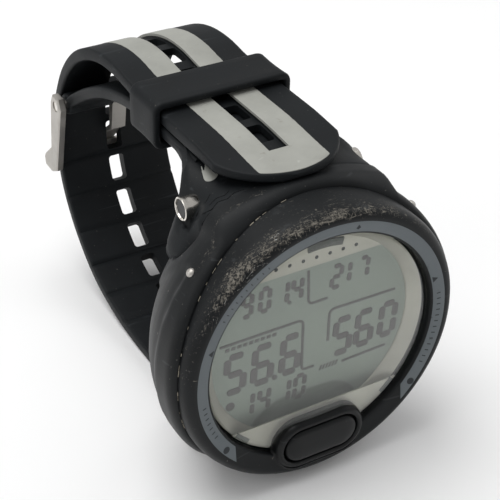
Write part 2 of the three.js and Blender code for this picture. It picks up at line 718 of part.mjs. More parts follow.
function buckleFrame() {
  const profile = [
    v2(BAR_Y + 2.4, BAR_Z + 1.6),
    v2(BAR_Y + 2.4, BAR_Z - 1.6),
    v2(BAR_Y + 0.4, BAR_Z - 2.6),
    v2(2, BAR_Z - 4.1),
    v2(CROSS_Y + 2.4, CROSS_Z - 0.6),
    v2(CROSS_Y + 1.4, CROSS_Z - 1.1),
    v2(CROSS_Y - 0.8, CROSS_Z - 0.6),
    v2(CROSS_Y - 1, CROSS_Z + 3),
    v2(CROSS_Y + 0.6, CROSS_Z + 6),
    v2(BAR_Y, BAR_Z + 2.6),
  ];
  const arms = [spread(profile, ARM_IN, ARM_OUT, 0.3), spread(profile, -ARM_OUT, -ARM_IN, 0.3)];
  const cross = spread([
    v2(CROSS_Y + 2.2, CROSS_Z + 0.4),
    v2(CROSS_Y + 2.2, CROSS_Z - 0.5),
    v2(CROSS_Y + 1.4, CROSS_Z - 1),
    v2(CROSS_Y - 0.6, CROSS_Z - 0.5),
    v2(CROSS_Y - 0.8, CROSS_Z + 0.7),
  ], -ARM_OUT + 0.5, ARM_OUT - 0.5);
  return cut(join(...arms, cross), rod(BAR_R + FIT, -30, 30, BAR_Y, BAR_Z));
}

const buckleBar = () => rod(BAR_R, -ARM_OUT + 0.2, ARM_OUT - 0.2, BAR_Y, BAR_Z);

function buckleTongue() {
  const half = 1.8;
  const eye = rod(2.3, -half, half, BAR_Y, BAR_Z, 24);
  const arm = spread([
    v2(BAR_Y - 0.6, BAR_Z - 2.2),
    v2(BUCKLE_HOLE_Y + 4, BAR_Z - 2.8),
    v2(BUCKLE_HOLE_Y - 0.6, CROSS_Z - 0.6),
    v2(CROSS_Y + 1, CROSS_Z - 2.6),
    v2(CROSS_Y - 1.8, CROSS_Z - 2.6),
    v2(CROSS_Y - 2.4, CROSS_Z - 1.6),
    v2(CROSS_Y + 1.2, CROSS_Z - 1.5),
    v2(BUCKLE_HOLE_Y + 1.2, BAR_Z - 4.6),
    v2(BUCKLE_HOLE_Y + 3.2, BAR_Z - 1.6),
    v2(BAR_Y - 1.6, BAR_Z - 0.2),
  ].reverse(), -half, half);
  return cut(join(eye, arm), rod(BAR_R + FIT, -30, 30, BAR_Y, BAR_Z));
}

// ---- assembly ----

const pieces = [
  part("case_body", caseBody(), blackPlastic),
  part("water_contact_left", waterContact(180 - STUD_ANGLE), steel),
  part("water_contact_right", waterContact(STUD_ANGLE), steel),
  part("bezel", bezel(), blackPlastic),
  part("bezel_inlay", bezelInlay(), greyPrint),
  part("lens", lens(), glassClear),
  part("lens_gasket", lensGasket(), blackRubber),
  part("display_mask", displayMask(), silver),
  part("lcd_panel", lcdPanel(), lcdGlass),
  part("backlight", backlight(), whitePlastic),
  part("elastomer_strip", elastomerStrip(), blackRubber),
  part("chassis", chassis(), whitePlastic),
  part("circuit_board", circuitBoard(), boardGreen),
  part("processor_chip", processorChip(), blackPlastic),
  part("memory_chip", memoryChip(), blackPlastic),
  part("buzzer", buzzer(), brass),
  part("pressure_sensor", pressureSensor(), steel),
  part("coin_cell", coinCell(), steel),
  part("contact_minus", contactMinus(), brass),
  part("contact_plus", contactPlus(), brass),
  part("case_back", caseBack(), blackPlastic),
  part("case_back_gasket", caseBackGasket(), blackRubber),
  ...backScrewPlaces().map((place, i) => part("case_back_screw_" + (i + 1), caseBackScrew(place), steel)),
  part("battery_cap", batteryCap(), blackPlastic),
  part("battery_cap_seal", batteryCapSeal(), blackRubber),
  part("button_cap", buttonCap(), blackRubber),
  part("button_stem", buttonStem(), steel),
  part("button_seal", buttonSeal(), blackRubber),
  part("mode_switch", modeSwitch(), blackPlastic),
  part("strap_pin_top", strapPin(1), steel),
  part("strap_pin_bottom", strapPin(-1), steel),
  part("strap_short", strapShort(), blackRubber),
  part("strap_short_stripe_left", shortStripe(-1, 0), greyRubber),
  part("strap_short_stripe_right", shortStripe(1, 0), greyRubber),
  part("strap_long", strapLong(), blackRubber),
  part("strap_long_stripes", strapLongInlay(), greyRubber),
  part("keeper", keeper(), blackRubber),
  part("buckle_frame", buckleFrame(), steel),
  part("buckle_bar", buckleBar(), steel),
  part("buckle_tongue", buckleTongue(), steel),
];

// Stood up on its 6 o'clock side, with the middle of its footprint over the origin.
const LOWEST_Y = -32.6;
const FRONT_Z = 1.7;
const REAR_Z = -99.7;
const dial = new THREE.Group();
dial.rotation.x = Math.PI / 2;
dial.position.set(0, (FRONT_Z + REAR_Z) / 2, -LOWEST_Y);
for (const piece of pieces) dial.add(piece);

const object = new THREE.Group();
object.name = "dive_computer";
object.add(dial);

export default object;
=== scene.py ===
"""Finer pieces, materials, light and camera for a wrist dive computer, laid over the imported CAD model."""
import bisect
import random
import bmesh
from math import acos, asin, atan2, cos, degrees, exp, hypot, pi, radians, sin, sqrt
import bpy
from mathutils import Matrix, Vector


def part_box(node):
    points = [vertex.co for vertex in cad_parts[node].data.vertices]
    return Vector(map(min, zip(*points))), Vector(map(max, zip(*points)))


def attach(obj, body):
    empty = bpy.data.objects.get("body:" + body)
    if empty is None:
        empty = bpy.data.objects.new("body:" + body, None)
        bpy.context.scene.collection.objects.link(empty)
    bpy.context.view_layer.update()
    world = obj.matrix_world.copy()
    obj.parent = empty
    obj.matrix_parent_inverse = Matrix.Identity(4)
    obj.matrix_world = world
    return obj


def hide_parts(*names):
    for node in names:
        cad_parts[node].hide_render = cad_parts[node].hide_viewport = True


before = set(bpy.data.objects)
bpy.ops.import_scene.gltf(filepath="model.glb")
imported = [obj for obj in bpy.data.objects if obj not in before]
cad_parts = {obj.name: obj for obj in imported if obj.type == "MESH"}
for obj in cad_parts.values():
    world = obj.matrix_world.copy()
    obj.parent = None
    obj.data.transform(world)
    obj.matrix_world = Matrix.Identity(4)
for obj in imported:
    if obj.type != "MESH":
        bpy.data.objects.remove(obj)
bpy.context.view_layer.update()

# ---- the dial's own frame, in millimetres: x to 3 o'clock, y to 12 o'clock, z out of the display ----
MM = 0.001
CAP_TOP = 1.7  # height of the button cap above the dial's zero
cell_lo, cell_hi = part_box("coin_cell")  # the cell lies on the dial's axis
ORIGIN = Vector(((cell_lo.x + cell_hi.x) / 2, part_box("button_cap")[0].y + CAP_TOP * MM, (cell_lo.z + cell_hi.z) / 2))


def D(x, y, z):
    return ORIGIN + Vector((x * MM, -z * MM, y * MM))


def row_dir(x, y, z):
    return Vector((x, -z, y))


def dial_box(node):
    """The lowest and the highest corner of a CAD node, in the dial's frame."""
    lo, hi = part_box(node)
    return ((lo.x / MM, (lo.z - ORIGIN.z) / MM, -(hi.y - ORIGIN.y) / MM),
            (hi.x / MM, (hi.z - ORIGIN.z) / MM, -(lo.y - ORIGIN.y) / MM))


def dial_centre(node):
    return [(a + b) / 2 for a, b in zip(*dial_box(node))]


def lerp(a, b, t):
    return a + (b - a) * t


def smooth(a, b, t):
    t = min(1.0, max(0.0, (t - a) / (b - a)))
    return t * t * (3 - 2 * t)


def ramp(points, t):
    """A value from a list of (t, value), with straight stretches."""
    if t <= points[0][0]:
        return points[0][1]
    for (a, va), (b, vb) in zip(points, points[1:]):
        if t <= b:
            return lerp(va, vb, (t - a) / (b - a))
    return points[-1][1]


def smax(a, b, k):
    """The larger of two values, rounded over where they are closer than k."""
    h = max(k - abs(a - b), 0) / k
    return max(a, b) + h * h * k / 4


def polar(r, a):
    return r * cos(a), r * sin(a)


def bezier(p0, p1, p2, t):
    return tuple((1 - t) ** 2 * a + 2 * t * (1 - t) * b + t * t * c for a, b, c in zip(p0, p1, p2))


def quarter(cx, cy, r, start, n):
    """Points of a quarter turn round a corner's centre."""
    return [(cx + r * cos(start + pi / 2 * i / n), cy + r * sin(start + pi / 2 * i / n)) for i in range(n + 1)]


def round_box(x0, x1, y0, y1, r, n):
    """The outline of a rectangle with round corners."""
    return (quarter(x1 - r, y1 - r, r, 0, n) + quarter(x0 + r, y1 - r, r, pi / 2, n)
            + quarter(x0 + r, y0 + r, r, pi, n) + quarter(x1 - r, y0 + r, r, 1.5 * pi, n))


# ---- mesh building ----

def placed(name, data):
    obj = bpy.data.objects.new(name, data)
    bpy.context.scene.collection.objects.link(obj)
    return obj


def build(name, verts, faces, mat, angle=40, wear_and_painted_light=None):
    mesh = bpy.data.meshes.new(name)
    mesh.from_pydata([D(*v) for v in verts], [], faces)
    mesh.validate()
    mesh.update()
    if wear_and_painted_light:
        layer = mesh.attributes.new("wear_and_painted_light", "FLOAT", "POINT")
        for i, v in enumerate(verts):
            layer.data[i].value = wear_and_painted_light(*v)
    obj = placed(name, mesh)
    if mat:
        mesh.materials.append(mat)
    outwards(obj)
    shade(obj, angle)
    return obj


def outwards(obj):
    bm = bmesh.new()
    bm.from_mesh(obj.data)
    bmesh.ops.recalc_face_normals(bm, faces=bm.faces)
    bm.to_mesh(obj.data)
    bm.free()


def shade(obj, angle):
    obj.data.shade_smooth()
    obj.data.set_sharp_from_angle(angle=radians(angle))


def grid(rows, loop=False):
    """Vertices and faces of a closed tube through rows of points. loop joins the last row to the first."""
    n = len(rows[0])
    verts = [p for row in rows for p in row]
    faces = []
    last = len(rows) if loop else len(rows) - 1
    for i in range(last):
        a, b = i * n, ((i + 1) % len(rows)) * n
        for j in range(n):
            k = (j + 1) % n
            faces.append((a + j, a + k, b + k, b + j))
    if not loop:
        base = (len(rows) - 1) * n
        faces.append(tuple(reversed(range(n))))
        faces.append(tuple(range(base, base + n)))
    return verts, faces


def merge(*parts):
    verts, faces = [], []
    for v, f in parts:
        base = len(verts)
        verts += list(v)
        faces += [tuple(i + base for i in q) for q in f]
    return verts, faces


def flat(outline, z):
    """An outline as a row of points at one height."""
    return [(x, y, z) for x, y in outline]


def prism(outline, z0, z1):
    """A plan outline raised from z0 to z1."""
    return grid([flat(outline, z0), flat(outline, z1)])


def carve(obj, cutters, angle):
    """Takes plain solids away from a piece."""
    for verts, faces in cutters:
        tool = build("tool", verts, faces, None)
        mod = obj.modifiers.new("cut", "BOOLEAN")
        mod.operation = "DIFFERENCE"
        mod.object = tool
        mod.solver = "EXACT"
        deps = bpy.context.evaluated_depsgraph_get()
        new = bpy.data.meshes.new_from_object(obj.evaluated_get(deps))
        obj.modifiers.remove(mod)
        old = obj.data
        obj.data = new
        bpy.data.meshes.remove(old)
        bpy.data.objects.remove(tool)
    shade(obj, angle)
    return obj


def circle(r, n=128, cx=0, cy=0):
    return [(cx + r * cos(2 * pi * i / n), cy + r * sin(2 * pi * i / n)) for i in range(n)]


def disc(r, z0, z1, n=128, cx=0, cy=0):
    return prism(circle(r, n, cx, cy), z0, z1)


def block(x0, x1, y0, y1, z0, z1):
    return prism([(x0, y0), (x1, y0), (x1, y1), (x0, y1)], z0, z1)


def lathe(profile, n, y, z, closed=True):
    """A profile of (radius, x) turned round an axis along x."""
    return grid([[(x, u, v) for u, v in circle(r, n, y, z)] for r, x in profile], loop=closed)


# ---- materials ----

class Nodes:
    """A material's nodes."""

    def __init__(self, name):
        self.mat = bpy.data.materials.new(name)
        self.mat.use_nodes = True
        self.tree = self.mat.node_tree
        self.bsdf = self.tree.nodes["Principled BSDF"]
        self.coord = self.tree.nodes.new("ShaderNodeTexCoord").outputs["Object"]

    def put(self, socket, value):
        """Gives an input a value, or links it to another node's output."""
        if isinstance(value, bpy.types.NodeSocket):
            self.tree.links.new(value, socket)
        else:
            socket.default_value = (*value, 1) if socket.type == "RGBA" else value

    def add(self, kind, **inputs):
        n = self.tree.nodes.new("ShaderNode" + kind)
        for key, value in inputs.items():
            self.put(n.inputs[key], value)
        return n

    def noise(self, scale, detail=4, rough=0.6, stretch=None, distortion=0.0):
        source = self.coord
        if stretch:
            source = self.add("Mapping", Vector=source, Scale=stretch[0], Rotation=stretch[1]).outputs["Vector"]
        n = self.add("TexNoise", Vector=source, Scale=scale, Detail=detail, Roughness=rough, Distortion=distortion)
        return n.outputs["Fac"]

    def ramp(self, fac, stops):
        n = self.add("ValToRGB", Fac=fac)
        elements = n.color_ramp.elements
        while len(elements) < len(stops):
            elements.new(0.5)
        for e, (p, c) in zip(elements, stops):
            e.position = p
            e.color = (*c, 1) if isinstance(c, tuple) else (c, c, c, 1)
        return n.outputs["Color"]

    def between(self, fac, low, high):
        """From low to high over the middle range of a noise."""
        return self.ramp(fac, [(0.3, low), (0.7, high)])

    def math(self, op, a, b):
        n = self.add("Math")
        n.operation = op
        self.put(n.inputs[0], a)
        self.put(n.inputs[1], b)
        return n.outputs[0]

    def mix(self, fac, a, b):
        n = self.add("Mix")
        n.data_type = "RGBA"
        for i, value in ((0, fac), (6, a), (7, b)):
            self.put(n.inputs[i], value)
        return n.outputs[2]

    def wear_and_painted_light(self):
        n = self.add("Attribute")
        n.attribute_name = "wear_and_painted_light"
        return n.outputs["Fac"]

    def bump(self, height, strength, distance):
        """Adds a bump on top of those already there."""
        normal = self.bsdf.inputs["Normal"]
        n = self.add("Bump", Strength=strength, Distance=distance, Height=height)
        if normal.is_linked:
            self.put(n.inputs["Normal"], normal.links[0].from_socket)
        self.put(normal, n.outputs["Normal"])

    def set(self, **values):
        names = {"colour": "Base Color", "rough": "Roughness", "metal": "Metallic", "spec": "Specular IOR Level"}
        for key, value in values.items():
            self.put(self.bsdf.inputs[names[key]], value)


def tones(base, low, high):
    """A darker and a lighter version of a colour."""
    return [tuple(min(1, c * k) for c in base) for k in (low, high)]


def dark_plastic(name, base, rough, scuffs_and_highlight=0.0, dust=0.5, grain=0.25, spec=0.22):
    """Moulded dark plastic or rubber: grain, rub marks, dust specks, and beige scuff marks where a piece's attribute
    says it is worn; on the case's rim ridge that beige is partly a painted highlight.
    """
    m = Nodes(name)
    tone = m.noise(60, 5)
    colour = m.between(tone, *tones(base, 0.72, 1.35))
    specks = m.ramp(m.noise(1500, 2, 0.5), [(0.72, 0.0), (0.80, dust)])
    colour = m.mix(specks, colour, (0.21, 0.20, 0.18))
    scratch = m.noise(260, 3, 0.5, ((0.12, 1.0, 4.0), (0.3, 0.8, 0.4)), 0.6)
    fine = m.ramp(scratch, [(0.66, 0.0), (0.72, 0.35)])
    colour = m.mix(fine, colour, tuple(min(1, c * 4 + 0.02) for c in base))
    rubbed = m.ramp(tone, [(0.25, rough * 0.8), (0.75, min(1.0, rough * 1.2))])
    if scuffs_and_highlight:
        hatch = m.noise(2600, 4, 0.65, ((1.0, 0.8, 0.10), (0.5, 0.3, 0.2)), 0.8)
        cross = m.noise(3000, 4, 0.65, ((0.10, 1.0, 0.8), (0.1, 0.9, 0.6)), 0.6)
        patch = m.noise(230, 3, 0.6)
        both = m.math("ADD", m.math("MAXIMUM", hatch, cross), m.math("MULTIPLY", patch, 0.25))
        lifted = m.math("ADD", both, m.math("MULTIPLY", m.wear_and_painted_light(), 0.235))
        mask = m.ramp(lifted, [(0.86, 0.0), (1.03, scuffs_and_highlight)])
        colour = m.mix(mask, colour, (0.225, 0.208, 0.178))
        rubbed = m.mix(mask, rubbed, (0.9, 0.9, 0.9))
        m.bump(mask, 0.5, 0.0001)
    m.set(colour=colour, rough=rubbed, spec=spec)
    m.bump(m.noise(2600, 2, 0.5), grain, 0.00005)
    m.bump(tone, 0.1, 0.0003)
    return m.mat


def pale_rubber():
    m = Nodes("stripe_grey")
    tone = m.noise(90, 5)
    colour = m.between(tone, (0.285, 0.288, 0.262), (0.36, 0.363, 0.332))
    dirt = m.ramp(m.noise(420, 4, 0.65), [(0.64, 0.0), (0.74, 0.45)])
    colour = m.mix(dirt, colour, (0.16, 0.14, 0.11))
    rub = m.ramp(m.noise(560, 3, 0.5, ((0.35, 1, 1.6), (0.5, 0.3, 0.9)), 0.8), [(0.69, 0.0), (0.76, 0.4)])
    colour = m.mix(rub, colour, (0.5, 0.5, 0.465))
    m.set(colour=colour, rough=m.between(tone, 0.5, 0.7), spec=0.35)
    m.bump(m.noise(1800, 3), 0.2, 0.00005)
    return m.mat


def ring_grey():
    m = Nodes("ring_grey")
    tone = m.noise(80, 4)
    colour = m.between(tone, (0.095, 0.112, 0.122), (0.125, 0.142, 0.152))
    dirt = m.ramp(m.noise(700, 4, 0.7), [(0.66, 0.0), (0.74, 0.7)])
    colour = m.mix(dirt, colour, (0.02, 0.02, 0.02))
    m.set(colour=colour, rough=m.between(tone, 0.42, 0.6), spec=0.4)
    m.bump(m.noise(2000, 2), 0.15, 0.00004)
    return m.mat


def satin_metal(name, base, rough, scratchy, metal=0.9):
    m = Nodes(name)
    colour = m.between(m.noise(50, 4), *tones(base, 0.85, 1.1))
    brushed = m.noise(500, 4, 0.6, ((0.08, 1, 1), (0, 0, 0)))
    m.set(colour=colour, metal=metal, rough=m.between(brushed, rough * 0.8, min(1, rough * 1.3)))
    m.bump(brushed, scratchy * 0.3, 0.00003)
    return m.mat


def display_glass():
    """The display's grey, darker where the panel lies in the button's shadow."""
    m = Nodes("display_grey")
    colour = m.between(m.noise(25, 3), (0.262, 0.295, 0.266), (0.289, 0.323, 0.288))
    # the panel's attribute holds a painted shadow here: the dark rim by the button's housing
    colour = m.mix(m.wear_and_painted_light(), colour, (0.04, 0.042, 0.038))
    m.set(colour=colour, rough=m.between(m.noise(400, 2), 0.42, 0.5), spec=0.2)
    return m.mat


def ink(name, colour, rough=0.6):
    m = Nodes(name)
    tone = m.noise(300, 3)
    m.set(colour=m.between(tone, *tones(colour, 0.9, 1.1)), rough=m.between(tone, rough * 0.9, rough), spec=0.2)
    return m.mat


def clear_lens():
    """Mostly see-through, with a gloss that grows towards grazing angles."""
    m = Nodes("lens_clear")
    clear = m.add("BsdfTransparent", Color=(0.96, 0.97, 0.96))
    gloss = m.add("BsdfGlossy", Color=(1, 1, 1), Roughness=m.ramp(m.noise(900, 4), [(0.3, 0.02), (0.8, 0.07)]))
    facing = m.add("LayerWeight", Blend=0.5).outputs["Facing"]
    share = m.ramp(facing, [(0.0, 0.03), (0.4, 0.045), (0.75, 0.18), (1.0, 0.8)])
    mixer = m.add("MixShader")
    for socket, value in zip(mixer.inputs, (share, clear.outputs[0], gloss.outputs[0])):
        m.put(socket, value)
    m.put(m.tree.nodes["Material Output"].inputs["Surface"], mixer.outputs[0])
    m.tree.nodes.remove(m.bsdf)
    return m.mat


BLACK = dark_plastic("case_black", (0.0066, 0.0076, 0.0084), 0.46, scuffs_and_highlight=0.85, spec=0.185)
GLOSS = dark_plastic("button_black", (0.005, 0.0055, 0.006), 0.3, dust=0.3, grain=0.1)
RUBBER = dark_plastic("strap_black", (0.0072, 0.0086, 0.0098), 0.55, dust=0.35, grain=0.3, spec=0.165)
STRIPE = pale_rubber()
RING = ring_grey()
SILVER = satin_metal("mask_silver", (0.47, 0.45, 0.40), 0.4, 0.2, 0.55)
TITAN = satin_metal("buckle_titanium", (0.46, 0.44, 0.41), 0.42, 0.6)
STEEL = satin_metal("pin_steel", (0.72, 0.69, 0.64), 0.2, 0.4, 1.0)
LCD = display_glass()
SEGMENT = ink("segment_dark", (0.125, 0.115, 0.12))
SHADOW = ink("segment_shadow", (0.205, 0.232, 0.21))
PRINT = ink("print_dark", (0.03, 0.034, 0.038))
LENS = clear_lens()
DUST = ink("dust_beige", (0.36, 0.325, 0.26), 0.9)
SCRATCH = ink("scratch_pale", (0.30, 0.30, 0.285), 0.7)
CRACK = ink("crack_black", (0.0025, 0.0025, 0.0025), 0.9)


def piece(obj, body, *nodes, slot):
    """Hands a piece over: the body it rides on and the CAD nodes it stands for. slot is not used."""
    if nodes:
        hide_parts(*nodes)
    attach(obj, body)


# ---- case ----
ARCH_R, FRONT, BACK_Z = 78.0, -2.2, -24.0
RIM_R = 31.15  # radius of the case's front edge
END_Y = 32.5  # the middle of the case's and the strap roots' ends, towards 12 and 6 o'clock
SHOULDER_X, SHOULDER_R = 20, 47.5  # half width of a shoulder, and the radius of its end in plan
ROOT_R = 47.4  # the same radius on a strap's root
MERGE = 1.2  # how softly a shoulder runs into the flank
PANEL_DEPTH = 0.55  # how much deeper the panel on each flank lies
FAR = 40  # beyond the case on every side


def arch(y):
    """Height of the case's front edge, a cylinder that falls away to 12 and 6 o'clock."""
    return FRONT - (ARCH_R - sqrt(ARCH_R ** 2 - min(abs(y), 40) ** 2))


def shoulder_outline(round_x, high, low):
    """A quarter of a shoulder's plan: its end is an arc out to round_x, and high and low shape the corner beyond."""
    centre = END_Y - SHOULDER_R
    a = asin(round_x / SHOULDER_R)
    end = (round_x, centre + SHOULDER_R * cos(a))
    pts = [(SHOULDER_X, 0), (SHOULDER_X, 12), (SHOULDER_X, 20)]
    pts += [bezier((SHOULDER_X, high), (SHOULDER_X, end[1] - low), end, i / 11) for i in range(12)]
    for i in range(1, 13):
        b = a * (1 - i / 12)
        pts.append((SHOULDER_R * sin(b), centre + SHOULDER_R * cos(b)))
    return pts


SHOULDER_LEFT = shoulder_outline(16, 23.6, 1.1)
SHOULDER_RIGHT = shoulder_outline(17.6, 25.0, 0.8)


def shoulder_reach(theta):
    """Distance from the dial's centre to the shoulder plan, in a direction."""
    dx, dy = abs(cos(theta)), abs(sin(theta))
    best = 0
    plan = SHOULDER_LEFT if cos(theta) < 0 else SHOULDER_RIGHT
    for (ax, ay), (bx, by) in zip(plan, plan[1:]):
        den = dx * (by - ay) - dy * (bx - ax)
        if abs(den) < 1e-9:
            continue
        t = (dy * ax - dx * ay) / den
        if -1e-6 <= t <= 1 + 1e-6:
            x, y = ax + (bx - ax) * t, ay + (by - ay) * t
            best = max(best, x * dx + y * dy)
    return best


FLANK = [(-24, 25.2), (-22, 26.7), (-20, 28.2), (-18, 29.5), (-16, 30.6), (-14, 31.45), (-12, 32.05), (-10, 32.4),
         (-8, 32.5), (0, 32.5)]  # height and radius


def lip_depth(full):
    """How far below the bezel the case's rim rounds over into a flank that reaches out to full."""
    return max(1.3, 1.3 + 0.9 * (full - RIM_R))


def case_radius(theta, z, top):
    """Radius of the case in a direction and at a height, below a front edge at top."""
    flank = ramp(FLANK, z)
    bound = 0.645 - 0.2 * (max(0, -10.5 - z) / 10.2) ** 1.6  # sine of the angle where the side panel ends
    panel = smooth(bound + 0.03, bound - 0.03, abs(sin(theta)))
    flank -= PANEL_DEPTH * panel * smooth(-9.1, -9.8, z)
    reach = shoulder_reach(theta)
    full = smax(flank, reach, MERGE) if reach > SHOULDER_X else flank
    shape = 2 - 0.62 * smooth(32.6, 33.6, full)  # the rim is flatter on the shoulders
    g = max(0, 1 - (1 - min((top - z) / lip_depth(full), 1)) ** shape) ** (1 / shape)
    return RIM_R + (full - RIM_R) * g


EYE_Y, EYE_Z, EYE_R = 24.0, -21.0, 6.8  # the pin's place, and the radius of the hollow round it
EYE_X, EYE_TOP = 9.6, -13.98  # where the hollow begins sideways, and its top


def eye_outline(gap):
    """The hollow in the case's corner that takes a strap's eye, seen along the pin."""
    r = EYE_R + gap
    pts = [(FAR, EYE_TOP + gap), (FAR, -32), (EYE_Y, -32), (EYE_Y, EYE_Z - r)]
    for i in range(1, 24):
        a = pi * i / 24
        pts.append((EYE_Y - r * sin(a), EYE_Z - r * cos(a)))
    return pts + [(EYE_Y, EYE_Z + r), (EYE_Y + 1.5, EYE_TOP + gap)]


def case_piece():
    n, levels, lip = 288, 26, 2.8
    angles = [2 * pi * j / n for j in range(n)]
    tops = [arch(RIM_R * sin(a)) for a in angles]
    rows = [[(a, top - u, top) for a, top in zip(angles, tops)]
            for u in (0, 0.08, 0.2, 0.4, 0.65, 0.95, 1.3, 1.7, 2.2, lip)]
    rows += [[(a, lerp(top - lip, BACK_Z, i / levels), top) for a, top in zip(angles, tops)]
             for i in range(1, levels + 1)]
    rows = [[(*polar(case_radius(a, z, top), a), z) for a, z, top in row] for row in rows]

    def wear_and_painted_light(x, y, z):
        """Rubbed along the rim's ridge from 12 to 10 o'clock, and a little on the left flank. Along the ridge the beige
        is partly a painted highlight on the rounded rim.
        """
        theta = atan2(y, x)
        a = degrees(theta) % 360
        full = smax(ramp(FLANK, z), max(20.1, shoulder_reach(theta)), MERGE)
        at = (arch(y) - z) / lip_depth(full)
        # the ridge's mark is partly real rubbing and partly a painted highlight
        ridge = exp(-((at - 0.85) / 0.28) ** 2)
        return 0.55 * ridge * smooth(152, 135, a) * smooth(85, 105, a) + 0.1 * smooth(100, 150, a) * smooth(200, 150, a)

    obj = build("case_shell", *grid(rows), BLACK, 50, wear_and_painted_light)
    # the bore under the bezel, the seat of the case back, and the room for the insides
    tools = [disc(26.2, -15.6, 5), disc(21, -30, -22.1), disc(16.4, -30, -15)]
    for s in (1, -1):
        for x0, x1 in ((-FAR, -EYE_X), (EYE_X, FAR)):
            tools.append(grid([[(x, s * y, z) for y, z in eye_outline(0.12)] for x in (x0, x1)]))
        y0, y1 = sorted((s * 29.4, s * FAR))
        tools.append(block(-12, 12, y0, y1, -30, -13.8))
    carve(obj, tools, 50)
    piece(obj, "computer", "case_body", slot="black_plastic")


# ---- bezel, ring and lens ----
BEZEL_IN, BEZEL_OUT, LENS_R = 25.4, 31.0, 25.3
BEZEL_CREST = [(28.5, 0.62), (28.9, 0.68), (29.3, 0.62), (29.7, 0.44), (30.1, 0.14), (30.45, -0.28), (30.7, -0.8)]
BEZEL = [(BEZEL_IN, -0.5), (25.47, -0.2), (25.65, -0.02), (25.9, 0.08), (26.5, 0.2), (27.3, 0.37), (28.0, 0.52),
         *BEZEL_CREST, (30.88, -1.4), (BEZEL_OUT, -2.0)]  # radius and height


def dish(r):
    """Height of the bezel's face at a radius."""
    return ramp([(BEZEL_IN, -0.03), (25.9, 0.08), *BEZEL_CREST, (BEZEL_OUT, -2.2)], r)


def bezel_piece():
    n = 320
    rows = [flat(circle(r, n), z) for r, z in BEZEL]
    for r, share, drop in ((BEZEL_OUT, 0.35, 0), (BEZEL_OUT, 0.7, 0), (BEZEL_OUT, 1.0, 0), (29.5, 1.0, 0.1),
                           (BEZEL_IN, 0.0, 1.5)):
        row = []
        for x, y in circle(1, n):
            row.append((r * x, r * y, lerp(-2.0, arch(BEZEL_OUT * y) - 0.15, share) - drop))
        rows.append(row)

    def wear_and_painted_light(x, y, z):
        """Rubbed along the outer edge, most from 1 to 10 o'clock over the top, with one chip at 11."""
        r, a = hypot(x, y), degrees(atan2(y, x)) % 360
        edge = exp(-((r - 30.25 + 0.2 * sin(5 * radians(a))) / 1.05) ** 2) if z > -2.4 else 0.25
        along = smooth(20, 50, a) * smooth(196, 140, a)
        heavy = 0.35 * exp(-((a - 92) / 26) ** 2) + 0.3 * exp(-((a - 128) / 16) ** 2)
        chip = 1.3 * exp(-((x + 11.3) / 0.6) ** 2 - ((y - 28.9) / 0.6) ** 2 - ((z + 1.7) / 0.7) ** 2)
        return min(1, edge * along * (0.62 + heavy) + chip + 0.1 * (60 < a < 200))

    obj = build("bezel_shell", *grid(rows, loop=True), BLACK, 50, wear_and_painted_light)
    carve(obj, [prism(capsule(1.9), -12, 6)], 50)
    piece(obj, "computer", "bezel", slot="black_plastic")


BUTTON_Y, BUTTON_W, BUTTON_H = -22.6, 17.0, 7.6


def capsule(grow, n=24):
    """The button's plan, grown outwards."""
    r, c, m = BUTTON_H / 2 + grow, (BUTTON_W - BUTTON_H) / 2, 10
    pts = []
    for side in (1, -1):
        for i in range(n + 1):
            a = -side * pi / 2 + pi * i / n
            pts.append((side * c + r * cos(a), BUTTON_Y + r * sin(a)))
        pts += [(lerp(side * c, -side * c, i / m), BUTTON_Y + side * r) for i in range(1, m)]
    return pts


def housing_piece():
    """Raised wall round the button: over the bezel it fades out in a fillet, over the display it drops to the mask."""
    rows = [flat(capsule(d), z) for d, z in ((0.3, -2.4), (0.3, 0.55), (0.36, 0.85), (0.52, 1.06), (0.8, 1.16),
                                             (1.1, 1.12), (1.4, 0.98), (1.65, 0.72))]
    for d, up, down in ((1.82, 0.36, 0.35), (1.95, 0.16, 0.0), (2.15, 0.04, -1.2), (2.5, -0.03, -1.7),
                        (2.7, -0.5, -2.4)):
        row = []
        for (x, y), (tight_x, tight_y) in zip(capsule(d), capsule(min(d, 2.0))):
            on_bezel = smooth(24.4, 25.6, hypot(x, y))
            x, y = lerp(tight_x, x, on_bezel), lerp(tight_y, y, on_bezel)
            face = dish(min(BEZEL_OUT, max(BEZEL_IN, hypot(x, y))))
            row.append((x, y, lerp(down, face + up, on_bezel)))
        rows.append(row)
    obj = build("button_housing", *grid(rows, loop=True), GLOSS, 60)
    floor = build("button_floor", *prism(capsule(0.6), -3.2, -2.4), GLOSS)
    floor.parent = obj
    piece(obj, "computer", slot="black_plastic")


